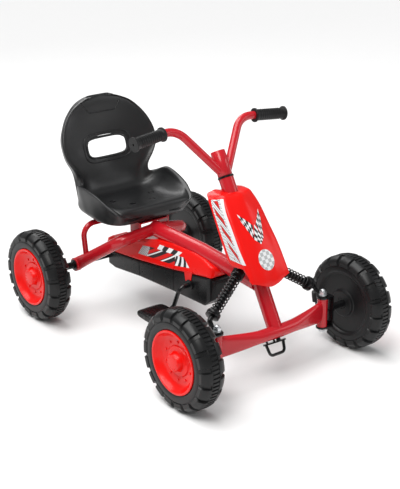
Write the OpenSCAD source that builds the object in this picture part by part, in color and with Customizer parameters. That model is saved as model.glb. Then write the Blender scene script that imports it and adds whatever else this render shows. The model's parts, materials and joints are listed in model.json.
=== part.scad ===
// Pedal go kart with four blow-moulded wheels, tube frame, chain drive and kingpin steering.
// Millimetres. Origin on the ground, midway between the axles, on the centre plane.
// The kart faces -Y, +X is the rider's left and +Z is up.

/* [Wheels] */
// Radius of every wheel over its tread
wheel_r = 130; // [126:1:132]
// Width of a wheel over its shoulder lugs
wheel_w = 71; // [68:1:72]
// Distance between the front and rear axles
wheelbase = 692; // [684:1:700]
// Centre plane to the middle of a front wheel
front_half_track = 287; // [284:1:290]
// Centre plane to the middle of a rear wheel
rear_half_track = 277; // [274:1:280]

/* [Frame] */
// Backward lean of the steering column from upright, in degrees
column_lean = 29.25; // [28.5:0.25:30]
// Outer radius of the steering column
column_r = 20; // [19:0.5:21]
// Outer radius of the main tube
main_r = 22.5; // [21:0.5:23]
// Outer radius of the rear fork tubes
fork_r = 17; // [16:0.5:18]
// Outer radius of the front beam at its middle
beam_r = 17; // [16:0.5:18]
// How far the middle of the front beam bows forward of its ends
beam_bow = 21; // [18:1:24]
// Wall of the frame tubes
tube_wall = 1.8; // [1.2:0.2:2.4]

/* [Steering] */
// Centre plane to a kingpin
kingpin_x = 180.5; // [179:0.5:182]
// Outer radius of the handlebar tube
bar_r = 11; // [10:0.5:12]
// Distance from the steering axis to a tie rod pin
steer_arm = 35; // [34:0.5:36]

/* [Drive] */
// Teeth on the crank's sprocket
crank_teeth = 16; // [14:1:16]
// Teeth on the rear axle's sprocket
axle_teeth = 13; // [11:1:13]
// Length of a crank arm
crank_arm = 80; // [76:1:82]
// How far the right-hand arm points behind straight down, in degrees
crank_rest = 24; // [15:1:35]
// Width of the chain case
case_w = 85; // [84:1:86]

/* [Seat] */
// Height of the seat's top edge above the ground
seat_top = 599; // [590:1:602]
// Half the width of the seat's back at its widest
seat_half_w = 163; // [158:1:165]

/* [Hidden] */
$fn = 48;

// Running clearance, radial, between a shaft and what turns on it
run_gap = 0.06;
// Clearance between neighbouring solids on different bodies
body_gap = 0.4;

// Colours
red_paint = [0.80, 0.10, 0.13];
red_plastic = [0.93, 0.07, 0.05];
black_plastic = [0.10, 0.10, 0.11];
black_paint = [0.06, 0.06, 0.06];
zinc = [0.72, 0.73, 0.75];

// Axle lines
axle_z = wheel_r;
front_axle_y = -wheelbase / 2;
rear_axle_y = wheelbase / 2;

// Front beam and kingpins
beam_z = 128.5;
beam_y = front_axle_y - beam_bow;
beam_round_half = 60;
beam_bend_r = (pow(kingpin_x, 2) + pow(beam_bow, 2)) / (2 * beam_bow);
beam_round_turn = asin(beam_round_half / beam_bend_r);
beam_end_x = kingpin_x - 11;
beam_end_half_h = 29;
beam_end_half_t = 9;
kingpin_tube_r = 14;
kingpin_tube_bottom = 84.5;
kingpin_tube_top = 166;
kingpin_r = 5;
bracket_t = 4;
bracket_half_w = 16;

// Steering column, measured along its axis from column_foot
column_foot = [0, -361, 130];
column_top = 412;
collar_top = 416.5;
stem_top = 484.5;
stem_r = 19.5;
shaft_r = 6;
shaft_sleeve_r = 12.5;
yoke_z = -31;
yoke_t = 4;
tie_pin_r = 3;
tie_pin_x = 12;
knuckle_pin_x = kingpin_x + tie_pin_x;
tie_eye_z = -15;
tie_eye_t = 6;
tie_slide = 1.5;
tie_clear = 1.7;

// Main tube and rear fork
fork_apex = [0, 152, 263];
main_tube_front = [0, -300.5, 238];
main_tube_mid = [0, -60, 257];
fork_bend = [112, 175, 240];
fork_end = [150, rear_axle_y, axle_z];
fork_eye_r = 20;
fork_eye_t = 15;

// Rear axle
rear_axle_r = 7;
axle_bush_r = 12;

// Chain drive
chain_pitch = 12.7;
chain_x = 6;
chain_w = 7;
crank_axis = [0, -62, 170];
crank_r = 6;
crank_arm_x = 80;
pedal_outer_x = 176;
pedal_inner_x = 90;
crank_pitch_r = chain_pitch / (2 * sin(180 / crank_teeth));
axle_pitch_r = chain_pitch / (2 * sin(180 / axle_teeth));
case_right = -45;
case_wall = 2;
case_mid = case_right + case_w / 2;

// Shock absorbers: cap centres on the rider's left
shock_top = [50, -273, 273.5];
shock_low = [168, -309, 196];
shock_cap_r = 17;
shock_cup_r = 19;
// Y and Z of the arms that carry the shocks
shock_bar = [-270, 283];
spring_r = 13.2;
spring_wire_r = 1.9;
spring_turns = 11;

// Seat
seat_floor = 326;
seat_under = 286.2;
seat_plate_z = 283;
seat_pad_r = 9;

// Fairing skin, and the Y and Z of the notch in its sides that clears the shock caps
fairing_skin = 2.5;
fairing_notch = [[-311, 298], [-334, 275], [-334, 240], [-240, 240], [-240, 298]];
fairing_notch_x = 57;

// Unit vector along v
function unit(v) = v / norm(v);
// Point p mirrored to the rider's right when side is -1
function on_side(side, p) = [side * p.x, p.y, p.z];
// Pin of the tie rod in the steering yoke, in the kart's frame
function column_point(y, z) = column_foot
  + y * [0, cos(column_lean), -sin(column_lean)] + z * [0, sin(column_lean), cos(column_lean)];

// Round bar from p to q
module bar(p, q, r) {
  d = q - p;
  translate(p) rotate([0, acos(d.z / norm(d)), atan2(d.y, d.x)]) cylinder(h = norm(d), r = r);
}

// Points of a line through p with every inner corner rounded to bend_r in n steps
function rounded(p, bend_r, n = 6) = [for (i = [0:len(p) - 1])
  each i == 0 || i == len(p) - 1 ? [p[i]] : corner(p[i - 1], p[i], p[i + 1], bend_r, n)];
function corner(a, b, c, bend_r, n) =
  let (u = unit(b - a), w = unit(c - b), turn = acos(u * w), side = unit(w - u * (u * w)),
    m = b - u * bend_r * tan(turn / 2) + side * bend_r)
    [for (k = [0:n]) m - side * bend_r * cos(turn * k / n) + u * bend_r * sin(turn * k / n)];
// Cosine or sine value v pushed outwards, so that an ellipse gets fuller corners
function fuller(v, power) = sign(v) * pow(abs(v), power);

// Rings of points along the line p. Each section is [half width, half height, corner power], and
// its width is square to the direction ref
function sweep_points(p, ref, sections, sides, inset) = [for (i = [0:len(p) - 1])
  let (d = unit(p[min(i + 1, len(p) - 1)] - p[max(i - 1, 0)]), e1 = unit(cross(ref, d)),
    e2 = cross(d, e1), half = sections[i])
    for (k = [0:sides - 1]) let (a = 360 * k / sides)
      p[i] + e1 * (half[0] - inset) * fuller(cos(a), half[2]) + e2 * (half[1] - inset) * fuller(sin(a), half[2])];

// Hollow bar through those rings, open at both ends
module tube_sweep(p, ref, sections, sides) {
  last = len(p) - 1;
  inner = (last + 1) * sides;
  far = last * sides;
  walls = [for (i = [0:last - 1], k = [0:sides - 1])
    let (n = (k + 1) % sides, a = i * sides, b = a + sides)
      each [[a + k, b + k, b + n, a + n], [inner + a + n, inner + b + n, inner + b + k, inner + a + k]]];
  ends = [for (k = [0:sides - 1]) let (n = (k + 1) % sides)
    each [[k, n, inner + n, inner + k], [far + n, far + k, inner + far + k, inner + far + n]]];
  polyhedron(concat(sweep_points(p, ref, sections, sides, 0), sweep_points(p, ref, sections, sides, tube_wall)),
    concat(walls, ends));
}

// Solid bar through those rings
module solid_sweep(p, ref, sections, sides) {
  last = len(p) - 1;
  far = last * sides;
  walls = [for (i = [0:last - 1], k = [0:sides - 1])
    let (n = (k + 1) % sides, a = i * sides, b = a + sides) [a + k, b + k, b + n, a + n]];
  ends = [[for (k = [0:sides - 1]) k], [for (k = [sides - 1:-1:0]) far + k]];
  polyhedron(sweep_points(p, ref, sections, sides, 0), concat(walls, ends));
}

// Hollow round bar along the points p, with its inner corners bent to bend_r
module bent_tube(p, bend_r, r, ref, sides = 20) {
  line = rounded(p, bend_r);
  tube_sweep(line, ref, [for (q = line) [r, r, 1]], sides);
}

// Solid bar along the points p with a small ball at each inner corner
module cranked_bar(p, r) {
  for (i = [0:len(p) - 2]) bar(p[i], p[i + 1], r);
  for (i = [1:len(p) - 2]) translate(p[i]) sphere(r = r * 1.12);
}

// Ring or washer on the Z axis
module ring(r, bore, h) {
  difference() {
    cylinder(h = h, r = r);
    translate([0, 0, -1]) cylinder(h = h + 2, r = bore);
  }
}

// Hexagonal head or nut on the Z axis, across flats w
module hex(w, h) {
  cylinder(h = h, d = w / cos(30), $fn = 6);
}

// Hull of balls of radius r at the points p
module blob(p, r) {
  hull() for (q = p) translate(q) sphere(r = r, $fn = 16);
}

// Children in the frame of the steering column
module on_column(z = 0) {
  translate(column_foot) rotate([-column_lean, 0, 0]) translate([0, 0, z]) children();
}

// Children with their Z axis pointing out to the given side
module out_to(side, x, y, z) {
  translate([side * x, y, z]) rotate([0, side * 90, 0]) children();
}

// Solid outline of the round middle of the front beam
module beam_core(r) {
  translate([0, beam_y + beam_bend_r, beam_z]) rotate([0, 0, -90 - beam_round_turn])
    rotate_extrude(angle = 2 * beam_round_turn, $fn = 96) translate([beam_bend_r, 0]) circle(r = r);
}

module front_beam() {
  steps = 16;
  turn = asin(beam_end_x / beam_bend_r);
  line = [for (i = [0:steps]) let (a = turn * (2 * i / steps - 1))
    [beam_bend_r * sin(a), beam_y + beam_bend_r * (1 - cos(a)), beam_z]];
  // The tube is round in the middle and flattened upright towards the kingpins
  sections = [for (q = line) let (t = max(0, abs(q.x) - beam_round_half) / (beam_end_x - beam_round_half))
    [beam_r + (beam_end_half_t - beam_r) * t, beam_r + (beam_end_half_h - beam_r) * t, 1 - 0.3 * t]];
  color(red_paint) difference() {
    tube_sweep(line, [0, 0, 1], sections, 24);
    on_column(-40) cylinder(h = 80, r = shaft_r + 1);
    for (side = [-1, 1]) translate([side * kingpin_x, front_axle_y, 0]) cylinder(h = 300, r = kingpin_tube_r);
  }
}

module kingpin_tube(side) {
  color(red_paint) translate([side * kingpin_x, front_axle_y, kingpin_tube_bottom])
    ring(kingpin_tube_r, kingpin_r + 0.1, kingpin_tube_top - kingpin_tube_bottom);
}

module steering_column() {
  color(red_paint) difference() {
    on_column() cylinder(h = column_top, r = column_r);
    on_column(-1) cylinder(h = column_top + 2, r = column_r - tube_wall);
    beam_core(beam_r);
  }
}

module main_tube() {
  color(red_paint) difference() {
    bent_tube([fork_apex + [0, 6, 0], main_tube_mid, main_tube_front], 1500, main_r, [1, 0, 0], 24);
    on_column() cylinder(h = column_top, r = column_r);
    for (side = [-1, 1]) fork_tube(side, true);
  }
}

// A rear fork tube, round at the front and flattened towards the axle
module fork_tube(side, solid = false) {
  line = [for (p = rounded([fork_apex, fork_bend, fork_end], 60)) on_side(side, p)];
  last = len(line) - 1;
  run = unit(line[last] - line[last - 1]);
  points = concat([for (i = [0:last - 1]) line[i]],
    [line[last] - run * 75, line[last] - run * (fork_eye_r - 2), line[last]]);
  flat = [fork_eye_t / 2 - 0.4, fork_eye_r - 1, 0.7];
  sections = concat([for (i = [0:last]) [fork_r, fork_r, 1]], [flat, flat]);
  if (solid) solid_sweep(points, [0, 0, 1], sections, 20);
  else tube_sweep(points, [0, 0, 1], sections, 20);
}

module rear_fork(side) {
  color(red_paint) difference() {
    union() {
      fork_tube(side);
      out_to(side, fork_end.x - fork_eye_t / 2, fork_end.y, fork_end.z) cylinder(h = fork_eye_t, r = fork_eye_r);
    }
    out_to(side, fork_end.x - fork_eye_t, fork_end.y, fork_end.z) cylinder(h = 2 * fork_eye_t, r = axle_bush_r);
    // Seats for the flanges of the axle bush
    for (z = [-fork_eye_t / 2 - 10, fork_eye_t / 2])
      out_to(side, fork_end.x + z, fork_end.y, fork_end.z) cylinder(h = 10, r = fork_eye_r);
    // The two fork tubes meet on the centre plane
    translate([side > 0 ? -100 : 0, 100, 200]) cube([100, 100, 100]);
  }
}

module seat_hoop() {
  foot = [-140.5, 305, 166];
  shoulder = [-152, 300, 265];
  color(red_paint) difference() {
    union() {
      bent_tube([foot, shoulder, on_side(-1, shoulder), on_side(-1, foot)], 34, 8, [0, 1, 0], 16);
      // Tabs that take the rear seat bolts
      for (side = [-1, 1]) {
        translate([side * 68 - 14, 255, seat_plate_z]) cube([28, 46, 3]);
        translate([side * 68 - 14, 298, 268]) cube([28, 3, seat_plate_z - 268]);
      }
    }
    for (side = [-1, 1]) {
      translate([side * 68, 268, 270]) cylinder(h = 30, r = 3.2);
      fork_tube(side, true);
    }
  }
}

module seat_bracket() {
  color(red_paint) difference() {
    union() {
      translate([-50, 158, seat_plate_z]) cube([100, 72, 3]);
      for (side = [-1, 1]) translate([side * 48.5 - 1.5, 158, 250]) cube([3, 50, seat_plate_z - 250]);
    }
    for (side = [-1, 1]) {
      translate([side * 35, 215, 270]) cylinder(h = 30, r = 3.2);
      fork_tube(side, true);
    }
  }
}

// Balls at both sides of the centre plane
function pair(x, y, z) = [[-x, y, z], [x, y, z]];

module seat_shell() {
  r = seat_pad_r;
  low = seat_under + r;
  color(black_plastic) difference() {
    union() {
      // Pan
      blob(concat(pair(96, 168, low), pair(112, 330, low), pair(126, 158, 318), pair(138, 250, 318),
        pair(128, 352, 318)), r);
      // Front lip
      blob(concat(pair(126, 157, 318), pair(122, 150, 330), pair(60, 145, 326)), r);
      // Raised side rims
      for (side = [-1, 1]) {
        blob([for (p = [[128, 160, 326], [140, 240, 348], [142, 240, 312], [146, 312, 366],
          [138, 330, 318]]) on_side(side, p)], r);
        // Lumbar corners that join the rims to the back
        blob([for (p = [[146, 312, 366], [138, 330, 318], [112, 364, 330], [118, 368, 396]])
          on_side(side, p)], r);
        // Side wings of the back
        blob([for (p = [[118, 368, 396], [84, 380, 400], [100, 398, 500], [88, 408, 560],
          [seat_half_w - r, 376, 480], [134, 392, 560]]) on_side(side, p)], r);
        // Post beside the slot
        blob([for (p = [[68, 392, 410], [96, 392, 410], [74, 408, 500], [100, 402, 500]]) on_side(side, p)], r);
      }
      // Back under and over the slot
      blob(concat(pair(98, 364, low + 16), pair(98, 372, 340), pair(96, 390, 408)), r);
      blob(concat(pair(98, 406, 492), pair(126, 396, 556), pair(70, 410, seat_top - r),
        pair(30, 412, seat_top - r)), r);
    }
    // Bolt holes
    for (side = [-1, 1]) {
      for (p = [[68, 268], [35, 215]]) translate([side * p.x, p.y, low - 20]) {
        cylinder(h = 90, r = 3.2);
        translate([0, 0, seat_floor - 3 + 20 - low]) cylinder(h = 30, r = 9);
      }
    }
  }
}

// One seat bolt: head in the seat's pan, nut under its plate
module seat_bolt(x, y) {
  translate([x, y, seat_plate_z]) {
    translate([0, 0, -8]) cylinder(h = seat_floor - 3 + 8 - seat_plate_z, r = 3);
    translate([0, 0, -5]) hex(10, 5);
    translate([0, 0, seat_floor - 3 - seat_plate_z]) cylinder(h = 3.5, r = 7.5);
  }
}

module seat_bolts() {
  color(zinc) for (side = [-1, 1]) {
    seat_bolt(side * 68, 268);
    seat_bolt(side * 35, 215);
  }
}

// Corner points of the fairing, with its skin moved in by inset and its open back by depth
function fairing_points(inset, depth) = concat(
  pair(44 - inset, -200 + inset + depth * 0.1, 461 - inset),
  pair(20, -207 + inset, 463 - inset),
  pair(67 - inset, -174 + depth, 450 - inset),
  pair(55 - inset, -334 + inset, 262 - depth),
  pair(22, -341 + inset, 254 - depth),
  pair(70 - inset, -258 + depth, 306 - depth));

module fairing() {
  color(red_plastic) difference() {
    blob(fairing_points(0, 0), 5);
    blob(fairing_points(fairing_skin, 12), 5);
    on_column(200) cylinder(h = 300, r = column_r + 0.5);
    // Open back and underside
    translate([-100, -300, 180]) rotate([-column_lean, 0, 0]) translate([0, 72, 0]) cube([200, 200, 400]);
    for (x = [-100, fairing_notch_x])
      translate([x, 0, 0]) rotate([90, 0, 90]) linear_extrude(100 - fairing_notch_x) polygon(fairing_notch);
  }
}

// Arms welded to the column: each carries a shock's top end and a tab for the fairing's screw
module shock_bracket() {
  color(red_paint) difference() {
    for (side = [-1, 1]) {
      bar([side * 10, shock_bar.x, shock_bar.y], [side * 33, shock_bar.x, shock_bar.y], 8);
      translate([side * 34.5 - 26.5, -284, shock_bar.y + 7.5]) cube([53, 20, 3]);
      translate([side * 59.5 - 1.5, -284, shock_bar.y + 7.5]) cube([3, 20, 18]);
    }
    on_column() cylinder(h = column_top, r = column_r);
  }
}

module fairing_screws() {
  color(zinc) for (side = [-1, 1]) out_to(side, 68.8, -274, shock_bar.y + 20) {
    cylinder(h = 8, r = 2);
    translate([0, 0, 6]) cylinder(h = 2.5, r = 5);
  }
}

// Points along a shock from its top cap to its bottom cap
function shock_point(side, t) = on_side(side, shock_top + (shock_low - shock_top) * t);

module shock_strut(side) {
  top = shock_point(side, 0);
  low = shock_point(side, 1);
  axis = unit(low - top);
  eye = low + axis * 14;
  tab_z = kingpin_tube_top + 2 * body_gap + bracket_t;
  color(black_plastic) difference() {
    union() {
      bar(top - axis * 20, eye, 5);
      bar(top - axis * 4, top + axis * 14, shock_cap_r);
      bar(low - axis * 14, low, shock_cup_r);
      // Strap from the lower end to the kingpin
      hull() {
        translate(eye) sphere(r = 5, $fn = 16);
        translate([side * kingpin_x, front_axle_y + 16, tab_z + 2]) cylinder(h = 4, r = 7, center = true, $fn = 24);
      }
      translate([side * kingpin_x, front_axle_y, tab_z]) cylinder(h = 4, r = 13);
      translate([side * kingpin_x - 7, front_axle_y, tab_z]) cube([14, 16, 4]);
    }
    translate([side * kingpin_x, front_axle_y, tab_z - 20]) cylinder(h = 60, r = kingpin_r + 0.1);
  }
}

// Rings of the coil spring's wire, joined into one closed skin
module shock_spring(side) {
  wire_sides = 6;
  steps = 12;
  rings = spring_turns * steps;
  top = shock_point(side, 0);
  axis = unit(shock_point(side, 1) - top);
  e1 = unit(cross(axis, [0, 0, 1]));
  e2 = cross(axis, e1);
  first = 14 + spring_wire_r + 0.2;
  run = norm(shock_low - shock_top) - 2 * first;
  points = [for (i = [0:rings], k = [0:wire_sides - 1])
    let (a = 360 * i / steps, b = 360 * k / wire_sides, out = e1 * cos(a) + e2 * sin(a))
      top + axis * (first + run * i / rings + spring_wire_r * sin(b))
        + out * (spring_r + spring_wire_r * cos(b))];
  walls = [for (i = [0:rings - 1], k = [0:wire_sides - 1])
    let (n = (k + 1) % wire_sides)
      [i * wire_sides + k, i * wire_sides + n, (i + 1) * wire_sides + n, (i + 1) * wire_sides + k]];
  ends = [[for (k = [wire_sides - 1:-1:0]) k], [for (k = [0:wire_sides - 1]) rings * wire_sides + k]];
  color(black_paint) polyhedron(points, concat(walls, ends));
}

// Kingpin: bolt from below, nut and cap on top
module kingpin_bolt(side) {
  low = kingpin_tube_bottom - 2 * body_gap - bracket_t;
  high = kingpin_tube_top + 2 * body_gap + bracket_t + 4;
  color(zinc) translate([side * kingpin_x, front_axle_y, 0]) {
    translate([0, 0, low - 8]) hex(17, 7);
    translate([0, 0, low - 1.5]) cylinder(h = 1.5, r = 11);
    translate([0, 0, low - 1]) cylinder(h = high - low + 8, r = kingpin_r);
    translate([0, 0, high]) cylinder(h = 1.5, r = 11);
    translate([0, 0, high + 1.5]) hex(17, 8);
    translate([0, 0, high + 9.5]) difference() {
      sphere(r = 7.5);
      translate([0, 0, -10]) cube(20, center = true);
    }
  }
}

module column_bush_top() {
  color(black_plastic) on_column(column_top) {
    translate([0, 0, 0.1]) ring(column_r + 1.5, shaft_sleeve_r + run_gap, collar_top - column_top - 0.1);
    translate([0, 0, -20]) ring(column_r - tube_wall, shaft_sleeve_r + run_gap, 20.1);
  }
}

module column_bush_bottom() {
  color(black_plastic) on_column(24) ring(column_r - tube_wall, shaft_r + run_gap, 18);
}

module axle_bush(side) {
  color(black_plastic) out_to(side, fork_end.x - fork_eye_t / 2, rear_axle_y, axle_z) {
    ring(axle_bush_r, rear_axle_r + run_gap, fork_eye_t);
    translate([0, 0, fork_eye_t]) ring(axle_bush_r + 3, rear_axle_r + run_gap, 3);
    translate([0, 0, -3]) ring(axle_bush_r + 3, rear_axle_r + run_gap, 3);
  }
}

// Side outline of the chain case, as seen from the rider's left, from the seam down or up
case_seam = [[346, 149], [303, 155], [177, 167], [14, 188], [-50, 199], [-128, 211]];
case_low = [[-128, 211], [-150, 214], [-146, 150], [-132, 132], [15, 125.5], [178, 118.5], [318, 103],
  [334, 106], [346, 118], [346, 149]];
case_high = [[346, 149], [366, 158], [358, 180], [340, 192], [318, 196], [290, 195], [97, 236], [40, 238],
  [-60, 230], [-130, 226], [-156, 224], [-150, 214], [-128, 211]];

function reversed(p) = [for (i = [len(p) - 1:-1:0]) p[i]];

// Extrusion across the case of an outline given in the Y-Z plane
module across_case(outline, inset = 0) {
  translate([case_right + inset, 0, 0]) rotate([90, 0, 90])
    linear_extrude(height = case_w - 2 * inset) polygon(outline);
}

// Outline scaled towards its middle, which leaves a wall
function shrunk(p, mid, wall) = [for (q = p) q - wall * [sign(q.x - mid.x), sign(q.y - mid.y)]];

// Space swept by everything that turns in the case, and the frame above it
module case_cutters() {
  translate([case_right - 10, crank_axis.y, crank_axis.z]) rotate([0, 90, 0]) cylinder(h = 120, r = 12);
  translate([case_right - 10, rear_axle_y, axle_z]) rotate([0, 90, 0]) cylinder(h = 120, r = 11);
  bar(main_tube_mid, fork_apex, main_r + body_gap);
  bar(main_tube_mid, main_tube_front, main_r + body_gap);
  for (side = [-1, 1]) bar(fork_apex, on_side(side, fork_bend), fork_r + body_gap);
  translate([chain_x - 12, 0, 0]) rotate([90, 0, 90]) linear_extrude(height = 24) hull() {
    translate([crank_axis.y, crank_axis.z]) circle(r = crank_pitch_r + 6);
    translate([rear_axle_y, axle_z]) circle(r = axle_pitch_r + 6);
  }
}

module chain_case_lower() {
  color(black_plastic) difference() {
    across_case(concat(case_low, [for (i = [1:4]) case_seam[i]]));
    across_case(concat(shrunk(case_low, [100, 400], -case_wall), [for (i = [1:4]) case_seam[i] + [0, 5]]),
      case_wall);
    case_cutters();
  }
}

module chain_cover_upper() {
  color(red_plastic) difference() {
    across_case(concat(case_high, reversed([for (i = [1:4]) case_seam[i]])));
    across_case(concat(shrunk(case_high, [100, -400], case_wall),
      reversed([for (i = [1:4]) case_seam[i] - [0, 5]])), case_wall);
    case_cutters();
  }
}

module chain_case_screws() {
  color(zinc) for (p = [[-110, 200], [60, 174], [200, 157], [300, 148]])
    translate([case_right - 1.6, p.x, p.y]) rotate([0, 90, 0]) {
      cylinder(h = 1.5, r = 4);
      cylinder(h = 10, r = 1.5);
    }
}

module crank_bearings() {
  color(black_plastic) for (side = [-1, 1])
    out_to(side, side > 0 ? case_mid + case_w / 2 - 5 : -case_mid + case_w / 2 - 5, crank_axis.y, crank_axis.z) {
      ring(11.9, crank_r + run_gap, 8);
      translate([0, 0, 5.1]) ring(15, crank_r + run_gap, 4);
    }
}

// Outline of a loop round both sprockets, at a distance outside their pitch circles
module chain_loop(out) {
  hull() {
    translate([crank_axis.y, crank_axis.z]) circle(r = crank_pitch_r + out, $fn = 64);
    translate([rear_axle_y, axle_z]) circle(r = axle_pitch_r + out, $fn = 64);
  }
}

module drive_chain() {
  color(zinc) translate([chain_x - chain_w / 2, 0, 0]) rotate([90, 0, 90])
    linear_extrude(height = chain_w) difference() {
      chain_loop(5);
      chain_loop(2.4);
    }
}

// Handlebar: stem with two bent arms welded to its sides
module handlebar() {
  color(red_paint) difference() {
    union() {
      on_column(collar_top + body_gap) cylinder(h = stem_top - collar_top - body_gap, r = stem_r);
      for (side = [-1, 1])
        bent_tube([for (p = [[14, -150, 508], [106, -86.5, 621], [244, -101.5, 610]]) on_side(side, p)],
          60, bar_r, [0, 1, 0]);
    }
    on_column(collar_top - 1) cylinder(h = 100, r = shaft_sleeve_r + 0.1);
    on_column(444) rotate([0, 90, 0]) cylinder(h = 60, r = 3.1, center = true);
  }
}

module grip(side) {
  inner = on_side(side, [151, -92, 617.5]);
  outer = on_side(side, [244, -101.5, 610]);
  u = unit(outer - inner);
  color(black_plastic) difference() {
    union() {
      bar(inner, outer, 14.5);
      bar(inner, inner + u * 5, 19);
      bar(outer - u * 1, outer + u * 5, 19);
      for (i = [0:9]) bar(inner + u * (14 + 7 * i), inner + u * (17 + 7 * i), 15.5);
    }
    bar(inner - u, outer, bar_r);
    bar(outer - u, outer + u * 6, 3);
  }
}

module stem_bolt() {
  color(zinc) on_column(444) rotate([0, 90, 0]) {
    translate([0, 0, -stem_r - 6]) hex(10, 5);
    translate([0, 0, -stem_r - 2]) cylinder(h = 2 * stem_r + 4, r = 3);
    translate([0, 0, stem_r + 0.5]) hex(10, 5);
  }
}

module steering_shaft() {
  color(black_paint) difference() {
    union() {
      on_column(yoke_z) cylinder(h = 400, r = shaft_r);
      on_column(350) cylinder(h = 128, r = shaft_sleeve_r);
      on_column(yoke_z) {
        // Yoke plate, tie rod pins and the bent loop under it
        linear_extrude(height = yoke_t)
          polygon([[-14, -12], [14, -12], [34, 14], [34, 24], [20, 44], [-20, 44], [-34, 24], [-34, 14]]);
        for (side = [-1, 1]) translate([side * tie_pin_x, steer_arm, 0]) {
          cylinder(h = tie_eye_z + tie_eye_t + tie_slide - yoke_z, r = tie_pin_r);
          translate([0, 0, tie_eye_z + tie_eye_t + tie_slide - yoke_z]) cylinder(h = 2, r = 6);
        }
        cranked_bar([[-29, 19, 1], [-24, 21, -29], [24, 21, -29], [29, 19, 1]], 4);
      }
    }
    on_column(444) rotate([0, 90, 0]) cylinder(h = 60, r = 3.1, center = true);
  }
}

module knuckle(side) {
  low = kingpin_tube_bottom - body_gap - bracket_t;
  high = kingpin_tube_top + body_gap;
  web_x = kingpin_x + 22;
  color(black_paint) difference() {
    union() {
      for (z = [low, high]) translate([0, front_axle_y, z]) {
        translate([side * kingpin_x, 0, 0]) cylinder(h = bracket_t, r = bracket_half_w);
        translate([side * (kingpin_x + 13) - 13, -bracket_half_w, 0]) cube([26, 2 * bracket_half_w, bracket_t]);
      }
      translate([side * (web_x + 2) - 2, front_axle_y - bracket_half_w, low])
        cube([4, 2 * bracket_half_w, high + bracket_t - low]);
      // Stub axle with its shoulder and jam nut
      out_to(side, web_x + 2, front_axle_y, axle_z) {
        cylinder(h = front_half_track + 20 - web_x - 2, r = shaft_r);
        cylinder(h = front_half_track - 36 - body_gap - web_x - 2, r = 9);
        translate([0, 0, 2]) hex(22, 8);
      }
      // Steering arm with the tie rod's pin
      translate([0, 0, 98]) linear_extrude(height = 4) polygon([for (p = [[web_x, front_axle_y + 10],
        [web_x + 4, front_axle_y + 10], [web_x + 4, front_axle_y + 36], [knuckle_pin_x + 7, front_axle_y + 44],
        [knuckle_pin_x - 9, front_axle_y + 44], [knuckle_pin_x - 9, front_axle_y + 28], [web_x, front_axle_y + 20]])
        [side * p.x, p.y]]);
      translate([side * knuckle_pin_x, front_axle_y + steer_arm, 98]) {
        cylinder(h = 11.2, r = tie_pin_r);
        translate([0, 0, 11]) cylinder(h = 2, r = 6);
      }
    }
    for (z = [low, high]) translate([side * kingpin_x, front_axle_y, z - 1])
      cylinder(h = bracket_t + 2, r = kingpin_r + run_gap);
  }
}

module front_axle_nut(side) {
  color(zinc) out_to(side, front_half_track + 9, front_axle_y, axle_z) {
    ring(10, shaft_r, 1.5);
    translate([0, 0, 1.5]) difference() {
      hex(17, 7);
      translate([0, 0, -1]) cylinder(h = 9, r = shaft_r);
    }
  }
}

module tie_rod(side) {
  outer = [side * knuckle_pin_x, front_axle_y + steer_arm, 102.4];
  eye_r = 8.5;
  inner = column_point(steer_arm, tie_eye_z) + [side * tie_pin_x, 0, 0];
  a = outer + [0, 0, 3];
  b = inner + tie_eye_t / 2 * [0, sin(column_lean), cos(column_lean)];
  u = unit(b - a);
  color(black_paint) difference() {
    union() {
      translate(outer) cylinder(h = tie_eye_t, r = eye_r);
      translate(inner) rotate([-column_lean, 0, 0]) cylinder(h = tie_eye_t, r = eye_r);
      bar(a + u * 5, b - u * 6, 3);
    }
    translate(outer - [0, 0, 1]) cylinder(h = tie_eye_t + 2, r = tie_pin_r + run_gap);
    translate(inner) rotate([-column_lean, 0, 0]) translate([0, 0, -5])
      cylinder(h = tie_eye_t + 10, r = tie_pin_r + tie_clear);
  }
}

// Hollow wheel body; its Z axis points to the wheel's outer side
module wheel_body() {
  half = wheel_w / 2;
  r = wheel_r;
  rotate_extrude($fn = 96) difference() {
    polygon([[15.2, -half - 0.5], [34, -half - 0.5], [38, -half + 2], [38, -26], [78, -22], [84, -29],
      [104, -half + 2.5], [r - 12, -half], [r - 5, -half + 5], [r, -20], [r, 20], [r - 5, half - 5],
      [r - 12, half], [104, half - 2.5], [83, half - 2.5], [82.6, 12], [76, -14], [24, -16], [24, 8], [15.2, 8]]);
    polygon([[86, -22], [104, -half + 6], [r - 13, -half + 4], [r - 8, -half + 8], [r - 3.5, -18],
      [r - 3.5, 18], [r - 8, half - 8], [r - 13, half - 4], [104, half - 6], [86, half - 6], [85.5, 10]]);
  }
}

// Dished wheel cover; its Z axis points to the wheel's outer side
module hub_cap() {
  half = wheel_w / 2;
  rotate_extrude($fn = 96) polygon([[0, half - 1.5], [24, half - 1.5], [27, half - 4], [30, 19], [39, 19],
    [41, 15], [61, 16], [73, 27], [77, half], [82.4, half], [82.4, half - 3], [79, half - 3], [75, 24],
    [62.5, 13.5], [40, 12.5], [38, 16.5], [28, 16.5], [25, half - 6], [24, half - 4], [0, half - 4]]);
  for (i = [0:9]) rotate([0, 0, 36 * i]) translate([50, 0, 14]) cylinder(h = 4, r = 3);
}

module wheel_bush(bore) {
  translate([0, 0, -wheel_w / 2 - 0.5]) ring(15, bore, wheel_w / 2 + 8.5);
}

module rear_axle() {
  color(black_paint) translate([-rear_half_track - 22, rear_axle_y, axle_z]) rotate([0, 90, 0])
    cylinder(h = 2 * rear_half_track + 44, r = rear_axle_r);
}

// Spacer tubes between the fork and each rear wheel
module axle_spacers() {
  start = fork_end.x + fork_eye_t / 2 + 3 + body_gap;
  color(black_plastic) for (side = [-1, 1])
    out_to(side, start, rear_axle_y, axle_z) ring(10, rear_axle_r, rear_half_track - 36 - body_gap - start);
}

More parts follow.
